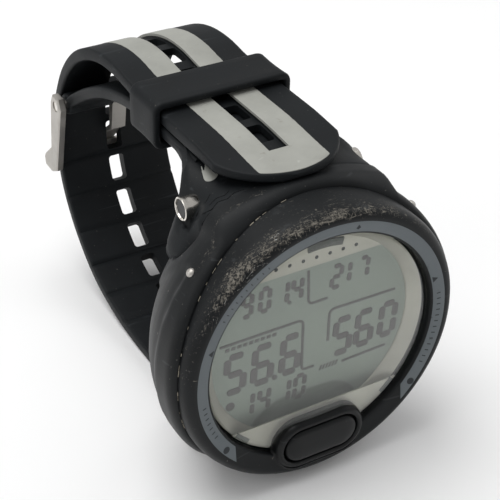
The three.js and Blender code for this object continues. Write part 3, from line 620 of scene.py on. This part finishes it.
def ring_piece():
    """The grey ring, ended by two straight cuts beside the button, and its marks."""
    def arc(r, lift, n=300, end=19.7):
        a0 = -acos(end / r)
        a1 = pi + acos(end / r)
        return flat([polar(r, lerp(a0, a1, i / n)) for i in range(n + 1)], dish(r) + lift)

    rows = [arc(*p) for p in ((25.92, -0.12), (25.92, 0.01), (26.0, 0.05), (26.7, 0.06), (27.5, 0.06), (28.3, 0.05),
                              (28.42, 0.01), (28.42, -0.12))]
    n, m = len(rows[0]), len(rows)
    verts = [p for row in rows for p in row]
    faces = [(i * n + j, i * n + j + 1, ((i + 1) % m) * n + j + 1, ((i + 1) % m) * n + j)
             for i in range(m) for j in range(n - 1)]
    faces += [tuple(i * n + end for i in range(m)) for end in (0, n - 1)]
    piece(build("ring_grey_band", verts, faces, RING, 40), "computer", "bezel_inlay", slot="grey_print")

    ticks = [(d, 26.7, 0.11) for d in list(range(-27, 12, 3)) + list(range(189, 210, 3))]
    ticks += [(d, 26.9, 0.09) for d in range(120, 150, 3)]
    marks = [mark(d, (r, -half), (27.5, -half), (27.5, half), (r, half)) for d, r, half in ticks]
    marks.append(on_ring([(5.2, 26.3), (5.7, 25.9), (6.2, 26.3), (5.7, 27.1)]))
    marks += [mark(d, (26.2, -0.75), (26.2, 0.75), (27.35, 0)) for d in (162, 17.5)]
    marks += [on_ring(circle(0.78, 24, x, -16.6)) for x in (21.9, -21.9)]
    piece(build("ring_marks", *merge(*marks), PRINT), "computer", slot="grey_print")


def on_ring(outline):
    """A thin print on the ring."""
    return grid([[(x, y, dish(hypot(x, y)) + lift) for x, y in outline] for lift in (-0.05, 0.085)])


def mark(deg, *points):
    """A print on the ring from points (radius, sideways), seen in a direction."""
    a = radians(deg)
    return on_ring([(r * cos(a) - t * sin(a), r * sin(a) + t * cos(a)) for r, t in points])


def lens_piece():
    """A thin dome, dropped at its edge and cut round the button."""
    rings = []
    for i in range(1, 25):
        r = LENS_R * i / 24
        rings.append((circle(r, 160), 1.3 - 2.0 * (r / 25) ** 2 - 0.5 * smooth(24.4, LENS_R, r)))
    rows = [flat(ring, z - 0.3) for ring, z in rings] + [flat(ring, z) for ring, z in reversed(rings)]
    obj = carve(build("lens_dome", *grid(rows), LENS, 30), [prism(capsule(2.15, 40), -8, 6)], 30)
    piece(obj, "computer", "lens", slot="lens_clear")


# ---- display ----
LCD_Z = dial_box("lcd_panel")[1][2]  # the face of the panel
LEDGE_Y = -15.65  # the straight edge over the display


def mask_piece():
    """Silver surround: a cone round the display, and a straight ledge that reaches over it beside the button."""
    cone = [(r, lerp(-4.45, -2.5, (r - 22.5) / 2.5)) for r in (22.6, 23.4, 24.2, 24.95)]
    rows = [flat(circle(r, 200), z) for r, z in ((22.45, LCD_Z + 0.02), (22.5, -4.5), *cone, (24.95, LCD_Z - 0.1))]
    obj = build("mask_surround", *grid(rows, loop=True), SILVER, 35)

    start = atan2(LEDGE_Y, 19.35)
    plate = [(lerp(-19.3, 19.3, i / 20), LEDGE_Y) for i in range(21)]
    plate += [polar(24.92, lerp(start, -pi - start, i / 40)) for i in range(41)]
    shelf = carve(build("mask_ledge", *prism(plate, -1.95, -1.62), SILVER, 35), [prism(capsule(2.0, 40), -8, 4)], 35)
    shelf.parent = obj
    piece(obj, "computer", "display_mask", slot="silver_mask")

    # dark grey plates stand in for recessed slots in the mask; their dark grey is painted shade
    slot_shades = []
    for deg, half, r0, r1, z in ((87.3, 4.1, 21.4, 23.0, -3.2), (-45, 1.9, 23.8, 24.8, -1.6),
                                     (-135, 1.9, 23.8, 24.8, -1.6)):
        turns = [radians(deg) + lerp(-half, half, i / 8) / r1 for i in range(9)]
        pts = [polar(r1, a) for a in turns] + [polar(r0, a) for a in reversed(turns)]
        slot_shades.append(prism(pts, z - 0.3, z + 0.12))
    piece(build("mask_slot_shades", *merge(*slot_shades), ink("slot_shade_grey", (0.10, 0.105, 0.10), 0.4)), "computer", slot="silver_mask")
    crown = [polar(22.6, radians(d)) for d in range(127, 52, -5)]
    crown = [(-13.8, 17.9)] + crown + [(13.8, 17.9), (15.0, 16.8), (-15.0, 16.8)]
    piece(build("mask_band", *prism(crown, LCD_Z - 0.05, LCD_Z + 0.22), SILVER, 35), "computer", slot="silver_mask")
    dots = [disc(0.4, LCD_Z, LCD_Z + 0.27, 20, x, 18.7) for x in range(-9, 10, 3)]
    piece(build("mask_dots", *merge(*dots), PRINT), "computer", slot="silver_mask")


def flat_bar(a, b, h, z0, z1):
    """A bar of half width h between two points, with blunt pointed ends, as on a segment display."""
    d = hypot(b[0] - a[0], b[1] - a[1])
    ux, uy = (b[0] - a[0]) / d, (b[1] - a[1]) / d
    low = [(0, -0.45 * h), (0.5 * h, -h), (d - 0.5 * h, -h), (d, -0.45 * h)]
    outline = low + [(s, -t) for s, t in reversed(low)]
    return prism([(a[0] + ux * s - uy * t, a[1] + uy * s + ux * t) for s, t in outline], z0, z1)


SEGMENTS = {"0": "abcdef", "1": "bc", "2": "abged", "4": "fgbc", "5": "afgcd", "6": "afgedc", "7": "abc", "9": "abcdfg"}


def digit(value, x, y, w, h, half, z0, z1, slant=0.05):
    """A seven-segment digit whose lower left corner is at x, y."""
    g = half * 0.5
    left, right, low, mid, top = half, w - half, half, h / 2, h - half
    lines = {"a": ((left + g, top), (right - g, top)), "d": ((left + g, low), (right - g, low)),
             "g": ((left + g, mid), (right - g, mid)), "f": ((left, mid + g), (left, top - g)),
             "b": ((right, mid + g), (right, top - g)), "e": ((left, low + g), (left, mid - g)),
             "c": ((right, low + g), (right, mid - g))}
    return [flat_bar(*((x + px + slant * py, y + py) for px, py in lines[s]), half, z0, z1) for s in SEGMENTS[value]]


def polyline(points, half, z0, z1):
    """A line of even width through points."""
    left, right = [], []
    for i, (x, y) in enumerate(points):
        ax, ay = points[max(0, i - 1)]
        bx, by = points[min(len(points) - 1, i + 1)]
        d = hypot(bx - ax, by - ay)
        nx, ny = -(by - ay) / d, (bx - ax) / d
        left.append((x + nx * half, y + ny * half))
        right.append((x - nx * half, y - ny * half))
    return prism(left + right[::-1], z0, z1)


def corner(a, b, c, r, n=6):
    """The rounding of a path a, b, c at b, begun at a distance r before it."""
    def towards(p, q):
        d = hypot(q[0] - p[0], q[1] - p[1])
        return (p[0] + (q[0] - p[0]) * r / d, p[1] + (q[1] - p[1]) * r / d)
    return [bezier(towards(b, a), b, towards(b, c), i / n) for i in range(n + 1)]


DIGITS = (  # digits, lower left corner, width, height, pitch, half a stroke
    ("90", -16.6, 9.4, 2.9, 6.1, 3.9, 0.5), ("14", -8.7, 9.5, 2.9, 6.0, 3.2, 0.5), ("2", 3.4, 9.5, 3.0, 5.9, 0, 0.48),
    ("1", 5.6, 9.8, 2.8, 5.6, 0, 0.48), ("7", 9.8, 9.8, 2.8, 5.5, 0, 0.48), ("5", 4.7, -7.6, 5.0, 9.6, 0, 0.72),
    ("6", 10.0, -7.4, 4.9, 9.4, 0, 0.72), ("0", 15.8, -7.0, 4.6, 9.0, 0, 0.7),
    ("56", -20.2, -8.1, 5.3, 10.1, 6.2, 0.76), ("6", -7.6, -8.0, 5.1, 10.1, 0, 0.76),
    ("14", -16.0, -15.3, 3.1, 6.4, 3.7, 0.5), ("10", -7.6, -15.2, 3.1, 6.4, 3.6, 0.5))
POINTS = ((-5.6, 9.9, 0.42), (-8.3, -7.4, 0.6), (-18.3, -10.9, 1.0))  # x, y, radius
DASHES = ((6, 2.2, 0.75, -9.7, -8.6, 0.35, 0.4), (9, -19.6, 1.3, 3.0, 3.7, 0.85, 0.1))
RULES = (  # the display's thin lines
    [(-1.6, 16.0)] + corner((-1.6, 16), (-1.2, 7.9), (3.2, 8.0), 1.3) + [(3.2, 8.0)],
    [(19.5, 4.6)] + corner((19.5, 4.6), (3.9, 4.8), (3.9, -2.8), 1.4) + [(3.9, -2.8)],
    [(-20.8, 4.5)] + corner((-20.8, 4.5), (-2.2, 4.6), (-2.0, -8.0), 1.3)
    + corner((-2.2, 4.6), (-2.0, -8.0), (0.9, -8.0), 1.0) + [(0.9, -8.0)],
    [(7.7, -9.4), (18.3, -9.1)])


def display_marks(z0, z1, dx, dy):
    """Everything the display shows, between two heights and moved by dx, dy."""
    parts = []
    for text, x, y, w, h, pitch, half in DIGITS:
        for k, value in enumerate(text):
            parts += digit(value, x + k * pitch + dx, y + dy, w, h, half, z0, z1)
    parts += [disc(r, z0, z1, 20, x + dx, y + dy) for x, y, r in POINTS]
    parts += [polyline([(x + dx, y + dy) for x, y in rule], 0.26, z0, z1) for rule in RULES]
    for count, first, pitch, low, high, width, lean in DASHES:
        for k in range(count):
            x = first + pitch * k + dx
            outline = [(x, low), (x + width, low), (x + width + lean, high), (x + lean, high)]
            parts.append(prism([(px, py + dy) for px, py in outline], z0, z1))
    return merge(*parts)


def display_piece():
    def shadow(x, y, z):
        """The dark rim that the button's housing throws on the panel."""
        d = hypot(max(0, abs(x + 0.6) - 4.7), y - BUTTON_Y)
        d += 0.25 * max(0, x) / 5
        return 0.62 * smooth(9.6, 8.7, d) * (0.35 + 0.5 * smooth(5.5, 9.0, d))

    rows = [flat(circle(0.25 * i, 220), LCD_Z) for i in range(1, 93)] + [flat(circle(23.0, 220), LCD_Z - 0.8)]
    # the panel's attribute is filled with the painted shadow of the button's housing
    piece(build("display_panel", *grid(rows), LCD, 40, shadow), "computer", "lcd_panel", slot="lcd_stack")
    for name, low, high, dx, dy, mat in (("display_segments", 0.05, 0.1, 0, 0, SEGMENT),
                                         ("display_shadow", 0.01, 0.03, 0.22, -0.2, SHADOW)):
        marks = display_marks(LCD_Z + low, LCD_Z + high, dx, dy)
        piece(build(name, *marks, mat), "computer", slot="lcd_stack")


# ---- button ----

def button_piece():
    rows = [flat(capsule(d), z) for d, z in
            ((0, -1.2), (0, 0.2), (-0.03, 0.62), (-0.14, 0.95), (-0.36, 1.2), (-0.7, 1.37), (-1.2, 1.5), (-1.9, 1.6),
             (-2.7, 1.66), (-3.4, 1.69))]
    obj = build("button_dome", *grid(rows), GLOSS, 60)
    piece(obj, "mode_button", "button_cap", slot="black_rubber")


# ---- straps ----

class Line:
    """A smooth line through points in y and z, walked by distance."""

    def __init__(self, points):
        self.p = points
        n = 4000
        self.pts = [self.at_t(i / n) for i in range(n + 1)]
        self.len = [0.0]
        for a, b in zip(self.pts, self.pts[1:]):
            self.len.append(self.len[-1] + hypot(b[0] - a[0], b[1] - a[1]))
        self.length = self.len[-1]

    def at_t(self, t):
        p, n = self.p, len(self.p)
        x = (n - 1) * t
        i = min(int(x), n - 2)
        w = x - i
        q = [p[max(i - 1, 0)], p[i], p[i + 1], p[min(i + 2, n - 1)]]
        out = []
        for k in (0, 1):
            a, b, c, d = (v[k] for v in q)
            v0, v1 = (c - a) / 2, (d - b) / 2
            out.append((2 * b - 2 * c + v0 + v1) * w ** 3 + (-3 * b + 3 * c - 2 * v0 - v1) * w ** 2 + v0 * w + b)
        return tuple(out)

    def at(self, s):
        s = min(max(s, 0), self.length)
        i = min(bisect.bisect_right(self.len, s), len(self.len) - 1)
        (ay, az), (by, bz), d = self.pts[i - 1], self.pts[i], self.len[i] - self.len[i - 1]
        t = (s - self.len[i - 1]) / d
        return (lerp(ay, by, t), lerp(az, bz, t)), ((by - ay) / d, (bz - az) / d)

    def off(self, s, side):
        (y, z), (ty, tz) = self.at(s)
        return y - tz * side, z + ty * side

    def find(self, test):
        for p, s in zip(self.pts, self.len):
            if test(p):
                return s


LONG = Line([(-31.25, -27), (-31.25, -34), (-31.25, -42), (-31.25, -50), (-30.9, -58), (-29.6, -67), (-26.6, -76),
             (-21.9, -83), (-15.6, -89.1), (-7.9, -93.6), (1.2, -95.4), (11, -95), (19, -91.8), (25, -87.6),
             (29.7, -82.4), (33, -76.2), (34.9, -69.4), (35.3, -62.5), (34.6, -56), (34.2, -50), (34.2, -40),
             (34.2, -25), (34.2, -9.6)])
SHORT = Line([(30.9, -27), (31.1, -34), (31.1, -46), (30.7, -54), (29.2, -62), (26.6, -70), (22.6, -78), (17.6, -85.6),
              (15.0, -88.8)])
HALF, THICK = 14.0, 2.7  # half width, and thickness
TIP = 9.5  # length of the round end of the tail
HOLE_W, HOLE_L, PITCH = 3.8, 6.2, 9.0
STRIPE_IN, STRIPE_OUT, STRIPE_ARC = 2.2, 7.8, 14.17  # the stripes' edges, and the radius of their tip
BUCKLE_HOLE = LONG.find(lambda p: p[1] < -90 and p[0] > 0.9)
STRIPE_START = LONG.find(lambda p: p[0] > 23 and p[1] > -92)
HOLES = [d for d in (BUCKLE_HOLE + k * PITCH for k in range(-5, 20)) if d < LONG.length - 13]
GROOVES = [h - PITCH / 2 for h in HOLES if h < BUCKLE_HOLE + PITCH]


def band_section(half, t, edge, channel=0.0, groove=0.0, squash=1.0, worn=0.0):
    """Points (x, side) round a strap's section of half thickness t; the outer side is negative."""
    f = half / HALF
    e = min(edge, half * 0.5)
    outer, inner = -t * squash + worn, (t - groove) * squash

    def along(x):
        return max(-half + e, min(half - e, x * f))

    def turn(side, level, start, first=0):
        angles = [start + pi / 2 * i / 4 for i in range(first, 5)]
        return [(side * (half - e) + e * cos(a), level + e * squash * sin(a)) for a in angles]

    ends = (HALF - 0.9, 11, 8.5, 6, 3.5, 2.45, 2.25, 1.2)
    pts = [(along(x), outer + (channel if abs(x) < 2.3 else 0)) for x in [-x for x in ends] + [0] + list(ends[::-1])]
    pts += turn(1, outer + e * squash, -pi / 2, 1) + turn(1, inner - e * squash, 0)
    pts += [(along(x), inner) for x in (10, 5, 0, -5, -10)]
    return pts + turn(-1, inner - e * squash, pi / 2) + turn(-1, outer + e * squash, pi, 1)


def band(line, stations, edge, half=lambda s: HALF, **shape):
    """A strap along a line. half and the other values of its section are functions of the distance along it."""
    rows = []
    for s in stations:
        section = band_section(half(s), THICK / 2, edge, **{name: value(s) for name, value in shape.items()})
        rows.append([(x, *line.off(s, side)) for x, side in section])
    return grid(rows)


def hole_tool(line, s, w, l, depth=4):
    """A round-cornered prism through a strap, of half width w and half length l."""
    (py, pz), (ty, tz) = line.at(s)
    return grid([[(x, py + ty * v - tz * side, pz + tz * v + ty * side) for x, v in round_box(-w, w, -l, l, 0.75, 6)]
                 for side in (-depth, depth)])


def end_plan(x):
    """The y of a strap root's end in plan."""
    return END_Y - SHOULDER_R + sqrt(ROOT_R * ROOT_R - x * x)


def sleeve(plan, z):
    """The outer face passes from the plan's round end into the flat strap."""
    return lerp(plan, END_Y, smooth(-19, -33, z))


def root_face(x, z):
    """Height of the outer face of a strap's root, with its corners fallen away."""
    ax = min(abs(x), 19.99)
    plan = end_plan(ax)
    if ax > 14:
        plan -= lerp(0.3, 4.7 if x < 0 else 0.4, smooth(-15.0, -19.0, z)) * ((ax - 14) / 6) ** 2
    return sleeve(plan, z)


ROOT_LEVELS = (-14.1, -14.15, -14.3, -14.55, -15, -15.6, -16.4, -17.4, -18.5, -19.7, -21, -22.3, -23.5, -24.6, -25.6,
               -26.4, -27.1, -27.6, -28.2, -29, -30, -31, -32, -33.5, -35, -36.5)
ROOT_HALF = [(-36.5, 14.0), (-34, 14.1), (-31, 14.7), (-28.5, 15.9), (-26, 17.6), (-24, 19.1), (-22.5, 19.7), (0, 19.8)]
ROOT_SWELL = [(-29, 0.0), (-27, 1.6), (-24, 3.2), (-20, 3.9), (-17, 3.2), (-15.5, 0.8), (-14.5, 0.0)]


def root_under(x, z):
    """Height of the inner face of a strap's root: round the pin's eye outside, against the case between."""
    if abs(x) < EYE_X + 0.05:
        return ramp([(-36.5, 30.0), (-31, 29.5), (0, 29.4)], z)
    strap = ramp([(-36.5, 30.0), (-31, 29.5), (-28, 26.0), (-27.8, 24.0)], z)
    eye = EYE_Y - sqrt(max(0, EYE_R ** 2 - (z - EYE_Z) ** 2))
    return max(min(strap, eye) if z > -27.8 else strap, sqrt(max(0, 21.5 ** 2 - x * x)))


def root(s):
    """The wide root of a strap at 12 o'clock (s = 1) or 6 o'clock (s = -1), with a lobe on each side."""
    rows = []
    for z in ROOT_LEVELS:
        half = ramp(ROOT_HALF, z)
        soft = 0.18 * (1 - smooth(ROOT_LEVELS[0], -14.7, z))  # the rounding of the root's top edge
        half -= soft
        pts = []
        for i in range(29):
            x = lerp(-half, half, i / 28)
            e = 1.1 if x < 0 else 0.6
            edge = max(0, (abs(x) - (half - e)) / e)
            pts.append((x, root_face(x, z) - soft - e * (1 - sqrt(max(0, 1 - edge * edge)))))
        low = root_under(half, z) + 0.45
        high = root_face(half, z) - soft - 1.1
        if high - low > 3:
            swell, top = ramp(ROOT_SWELL, z), min(high, 24.5)
            side = [(half + swell * (1 - t) ** 0.85 * (1 if t > 0.12 else 0.9), lerp(low - 1.6, top, t))
                    for t in (0.8, 0.6, 0.4, 0.25, 0.12, 0.03)]
        else:
            side = [(half, lerp(high, low, k / 7)) for k in range(1, 7)]
        pts += side
        right = [half, half - 0.35, 16, 12.5, 9.75, EYE_X, 5]
        for x in right + [0] + [-x for x in reversed(right)]:
            x = min(x, half) if x > 0 else max(x, -half)
            lift = 0.45 if abs(x) > half - 0.1 else 0
            pts.append((x, min(root_under(x, z) + lift, root_face(x, z) - 1.2)))
        pts += [(-x, y) for x, y in reversed(side)]
        rows.append([(x, s * y, z) for x, y in pts])
    return grid(rows)


def long_strap():
    end = LONG.length - 1.0
    r_tip = (HALF ** 2 + TIP ** 2) / (2 * TIP)
    stations, s = [0.0], 0.0
    while s < end - TIP:
        s += 0.55
        stations.append(s)
    stations = [v for v in stations if v < end - TIP - 0.1]
    stations += [end - u for u in (TIP, 9, 8.4, 7.8, 7.2, 6.6, 6, 5.4, 4.8, 4.2, 3.6, 3.1, 2.6, 2.2, 1.8, 1.45, 1.15,
                                   0.88, 0.65, 0.46, 0.3, 0.18, 0.09, 0.03)]

    def half(s):
        u = max(end - s, 0)
        return HALF if u >= TIP else sqrt(max(0.0001, 2 * r_tip * u - u * u))

    def squash(s):
        u = max(end - s, 0)
        return sqrt(max(0.02, 1 - (1 - min(1, (u + 0.15) / 0.9)) ** 2))

    def channel(s):
        stop = LONG.length - 9.8
        return 1.05 * smooth(STRIPE_START - 0.6, STRIPE_START + 0.6, s) * smooth(stop + 0.5, stop, s)

    def worn(s):
        return smooth(end - 20, end - 1.5, s)

    def groove(s):
        return max(0.5 * max(0, 1 - abs(s - g) / 0.75) for g in GROOVES)

    body = band(LONG, stations, 0.6, half, channel=channel, groove=groove, squash=squash, worn=worn)
    obj = build("strap_long_band", *body, RUBBER, 35)
    # the hole in use is longer, so that the drawn tongue clears it through its 3 degrees
    halves = [(h, HOLE_L / 2 + (0.7 if abs(h - BUCKLE_HOLE) < 1 else 0)) for h in HOLES]
    carve(obj, [hole_tool(LONG, h, HOLE_W / 2, length) for h, length in halves], 35)
    foot = build("strap_long_root", *root(-1), RUBBER, 45)
    foot.parent = obj
    piece(obj, "computer", "strap_long", slot="black_rubber")

    def stripe(x0, x1, s0, s1, tip=None):
        """A raised stripe with softly uneven edges. With a tip it narrows to it in an arc."""
        rows, n = [], 40 if tip else int((s1 - s0) / 0.8)
        for i in range(n + 1):
            s = lerp(s0, s1, 1 - (1 - i / n) ** 2) if tip else lerp(s0, s1, i / n)
            f = 1.0
            if tip:
                u = max(tip - s, 0.005)
                f = min(1.0, sqrt(max(0.0004, 2 * STRIPE_ARC * u - u * u)) / STRIPE_OUT)
            wob = 0.02 * sin(s * 2.3) + 0.015 * sin(s * 5.1 + 1)
            a, b = x0 * f - wob * (x0 < -5), x1 * f + wob * (x1 > 5)
            face = worn(s) - THICK / 2
            top, shoulder, foot = face - 0.1, face - 0.03, face + 0.5
            section = [(a, foot), (a, shoulder), (a + 0.16 * f, top), (lerp(a, b, 0.33), top), (lerp(a, b, 0.66), top),
                       (b - 0.16 * f, top), (b, shoulder), (b, foot)]
            rows.append([(x, *LONG.off(s, side)) for x, side in section])
        return grid(rows)

    fork, tip = LONG.length - 9.55, LONG.length - 1.5
    parts = [stripe(-STRIPE_OUT, -STRIPE_IN, STRIPE_START, fork), stripe(STRIPE_IN, STRIPE_OUT, STRIPE_START, fork),
             stripe(-STRIPE_OUT, STRIPE_OUT, fork, tip, tip)]
    obj = build("strap_long_stripe_pair", *merge(*parts), STRIPE, 50)
    piece(obj, "computer", "strap_long_stripes", slot="grey_rubber")


def short_strap():
    stations = [0.8 * i for i in range(int(SHORT.length / 0.8))] + [SHORT.length]
    parts = [band(SHORT, stations, 0.75), root(1)]
    _, y, z = dial_centre("buckle_bar")
    for x0, x1 in ((-13.9, -2.3), (2.3, 13.9)):
        profile = [(0.01, x0), (1.9, x0), (2.3, x0 + 0.15), (2.5, x0 + 0.5)]
        profile += [(r, x0 + x1 - x) for r, x in reversed(profile)]
        parts.append(lathe(profile, 40, y, z, closed=False))
    piece(build("strap_short_band", *merge(*parts), RUBBER, 45), "computer", "strap_short", slot="black_rubber")

    for side, node in ((-1, "strap_short_stripe_left"), (1, "strap_short_stripe_right")):
        z0, z1, r, n = -21.1, -31.0, 1.6, 40
        rows = []
        for grow, lift in ((0, -0.4), (0, 0.02), (-0.12, 0.1)):
            row = []
            for i in range(n):
                a = 2 * pi * i / n
                z = (z0 - r if sin(a) >= 0 else z1 + r) + (r + grow) * sin(a)
                x = side * (13.3 - 0.3 * (z0 - z)) + (r + grow) * cos(a)
                row.append((x, sleeve(end_plan(x), z) + lift, z))
            rows.append(row)
        piece(build(node + "_inlay", *grid(rows), STRIPE, 50), "computer", node, slot="grey_rubber")


def keeper_piece():
    """A flat loop: outer corners of 2.2 mm, inner ones of 0.8 mm, and softened edges."""
    (_, y0, z0), (x1, y1, z1) = dial_box("keeper")
    wall = 1.5

    def loop(inset, r, z):
        return flat(round_box(-x1 + inset, x1 - inset, y0 + inset, y1 - inset, r, 8), z)

    edge = ((0.55, 0.0), (0.28, 0.07), (0.1, 0.24), (0.0, 0.55))
    rows = [loop(inset, 2.2 - inset * 0.5, z0 + dz) for inset, dz in edge]
    for k in range(1, 6):
        rows.append(loop(0.12 * sin(pi * k / 6), 2.2, lerp(z0 + 0.55, z1 - 0.55, k / 6)))
    rows += [loop(inset, 2.2 - inset * 0.5, z1 - dz) for inset, dz in reversed(edge)]
    edge = ((wall - 0.3, 0.0), (wall - 0.08, 0.1), (wall, 0.35))
    rows += [loop(inset, 0.8, z1 - dz) for inset, dz in edge]
    rows += [loop(inset, 0.8, z0 + dz) for inset, dz in reversed(edge)]
    obj = build("keeper_loop", *grid(rows, loop=True), RUBBER, 50)
    piece(obj, "strap_keeper", "keeper", slot="black_rubber")


PIN_SHORT = 0.7  # the pins end this much earlier at 3 o'clock


def pins_and_metal():
    """The two strap pins, hollow at their ends with black plugs in the bores as painted shade, and the studs on the
    flanks.
    """
    for node in ("strap_pin_top", "strap_pin_bottom"):
        _, y, z = dial_centre(node)
        x = dial_box(node)[1][0]
        flare = [(r, u - x) for r, u in (
            (0.02, 3.4), (1.7, 3.3), (1.76, 1.6), (1.9, 0.3), (2.05, 0.05), (2.2, 0), (2.38, 0.12), (2.4, 0.35),
            (2.28, 0.8), (2.25, 1.6), (2.25, 3.2), (2.1, 3.6))]
        mirrored = [(r, -h - PIN_SHORT) for r, h in reversed(flare)]
        obj = build(node + "_tube", *lathe(flare + mirrored, 48, y, z), STEEL, 40)
        # black gloss plugs lining each pin's bore: painted shade for the hollow ends
        for side, name in ((-1, "_bore_left"), (1, "_bore_right")):
            end = x - PIN_SHORT * (side > 0)
            h0, h1 = sorted((side * (end - 3.3), side * (end - 0.3)))
            r0, r1 = (1.7, 1.86) if side > 0 else (1.86, 1.7)
            plug = lathe([(0.01, h0), (r0, h0), (r1, h1), (0.01, h1)], 32, y, z, closed=False)
            bore = build(node + name, *plug, GLOSS, 40)
            bore.parent = obj
        piece(obj, "computer", node, slot="steel")
    for s, name in ((-1, "water_contact_left"), (1, "water_contact_right")):
        a = radians(40)
        ux, uy = s * cos(a), sin(a)
        rows = []
        for r, h in ((0.95, 30.0), (0.95, 32.35), (0.9, 32.6), (0.72, 32.85), (0.42, 33.02), (0.12, 33.08)):
            rows.append([(ux * h - uy * u, uy * h + ux * u, -8.6 + v) for u, v in circle(r, 28)])
        piece(build(name + "_stud", *grid(rows), TITAN, 50), "computer", name, slot="steel")


def sliver(a, b, r):
    """A thin three-sided bar between two points."""
    a, b = Vector(a), Vector(b)
    u = (b - a).normalized()
    v = u.cross(Vector((0.3, 0.5, 0.8))).normalized()
    w = u.cross(v)
    return grid([[tuple(p + r * (v * cos(k * pi / 1.5) + w * sin(k * pi / 1.5))) for k in range(3)] for p in (a, b)])


def wear_marks():
    """Dust in the seam round the bezel, scratches and chips on its rim, and fine cracks in the strap's root."""
    draw = random.Random(11)

    def on_rim(r, deg, z):
        return (*polar(r, radians(deg)), z)

    dust, scratches, cracks = [], [], []
    at, seam = 92.0, 31.09
    while at < 208:
        span = draw.uniform(0.4, 2.6)
        if draw.random() < 0.5:
            ends = [on_rim(seam, d, arch(seam * sin(radians(d))) + 0.02) for d in (at, at + span)]
            dust.append(sliver(*ends, draw.uniform(0.04, 0.085)))
        at += span + draw.uniform(0.2, 1.5)
    for _ in range(30):
        r, d = draw.uniform(28.8, 30.5), draw.uniform(96, 152)
        r2, d2 = min(30.8, r + draw.uniform(-0.9, 0.9)), d + draw.uniform(-3.5, 3.5)
        scratches.append(sliver(on_rim(r, d, dish(r)), on_rim(r2, d2, dish(r2)), draw.uniform(0.02, 0.04)))
    for d, r in ((111.1, 30.83), (112.4, 30.87), (109.9, 30.86), (111.8, 30.7)):
        d2 = d + draw.uniform(0.5, 1.1)
        scratches.append(sliver(on_rim(r, d, dish(r) + 0.02), on_rim(r, d2, dish(r) - 0.1), 0.11))
    for path in (((-19.0, -14.9), (-17.3, -14.4), (-15.6, -15.1), (-13.9, -14.5), (-12.1, -15.0), (-10.3, -14.5)),
                 ((-19.0, -17.3), (-18.1, -17.8), (-16.6, -17.7), (-15.4, -18.4)),
                 ((-17.0, -15.8), (-15.3, -16.3), (-13.8, -15.7), (-12.6, -16.2))):
        points = [(x, root_face(x, z) + 0.01, z) for x, z in path]
        cracks += [sliver(p, q, 0.075) for p, q in zip(points, points[1:])]
    piece(build("seam_dust", *merge(*dust), DUST), "computer", slot="black_plastic")
    piece(build("rim_scratches", *merge(*scratches), SCRATCH), "computer", slot="black_plastic")
    piece(build("root_cracks", *merge(*cracks), CRACK), "computer", slot="black_rubber")


def carried_over():
    """Materials for the CAD nodes that are shown as they are."""
    screws = ["case_back_screw_%d" % i for i in range(1, 5)]
    brass = satin_metal("contact_brass", (0.62, 0.45, 0.2), 0.3, 0.3, 1.0)
    for mat, names in (
            (TITAN, ["buckle_frame", "buckle_tongue"]),
            (STEEL, ["buckle_bar", "button_stem", "coin_cell", "pressure_sensor"] + screws),
            (RUBBER, ["lens_gasket", "elastomer_strip", "button_seal", "case_back_gasket", "battery_cap_seal"]),
            (BLACK, ["case_back", "battery_cap", "mode_switch", "processor_chip", "memory_chip"]),
            (brass, ["buzzer", "contact_minus", "contact_plus"]),
            (ink("moulded_white", (0.6, 0.6, 0.57), 0.5), ["backlight", "chassis"]),
            (ink("board_green", (0.02, 0.12, 0.06), 0.4), ["circuit_board"])):
        for name in names:
            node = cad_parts[name]
            for slot in node.material_slots:
                slot.material = mat
            if not node.material_slots:
                node.data.materials.append(mat)


# ---- floor, light and camera ----

def studio():
    floor_mesh = bpy.data.meshes.new("floor")
    floor_mesh.from_pydata([(-3, -3, -0.0001), (3, -3, -0.0001), (3, 3, -0.0001), (-3, 3, -0.0001)], [], [(0, 1, 2, 3)])
    floor = placed("floor", floor_mesh)
    m = Nodes("floor_white")
    m.set(colour=m.ramp(m.noise(3, 2), [(0.3, (0.93, 0.93, 0.93)), (0.7, (0.95, 0.95, 0.95))]), rough=0.9)
    floor_mesh.materials.append(m.mat)

    world = bpy.data.worlds.new("studio")
    world.use_nodes = True
    background = world.node_tree.nodes["Background"].inputs
    background["Color"].default_value = (1, 1, 1, 1)
    background["Strength"].default_value = 0.5
    bpy.context.scene.world = world

    def area(name, at, aim, size, power):
        light = bpy.data.lights.new(name, "AREA")
        light.shape = "RECTANGLE"
        light.size, light.size_y = size
        light.energy = power
        obj = placed(name, light)
        obj.location = at
        obj.rotation_euler = (Vector(aim) - Vector(at)).to_track_quat("-Z", "Y").to_euler()

    area("over", (-0.15, 0.1, 0.7), (0, 0, 0.03), (0.6, 0.5), 3.4)
    area("side", (-0.55, 0.15, 0.3), (0, 0, 0.03), (0.4, 0.3), 0.5)
    area("fill", (0.5, 0.0, 0.35), (0, -0.02, 0.03), (0.4, 0.3), 0.4)


def camera():
    """The camera fitted to the photograph: its axes and its place in the dial's frame."""
    cam = bpy.data.cameras.new("camera")
    cam.lens, cam.sensor_width = 100.0, 36.0
    cam.clip_start, cam.clip_end = 0.01, 20
    obj = placed("camera", cam)
    right = row_dir(0.862944, 0.021865, 0.504827)
    up = -row_dir(-0.267113, -0.828322, 0.492476)
    back = -row_dir(0.428927, -0.559825, -0.708955)
    turn = Matrix((right, up, back)).transposed().to_4x4()
    obj.matrix_world = Matrix.Translation(D(-123.131, 166.489, 174.602)) @ turn
    bpy.context.scene.camera = obj


bpy.context.scene.view_settings.view_transform = "Standard"
for make in (camera, studio, case_piece, bezel_piece, housing_piece, ring_piece, lens_piece, mask_piece, display_piece,
             button_piece, long_strap, short_strap, keeper_piece, wear_marks, pins_and_metal, carried_over):
    make()
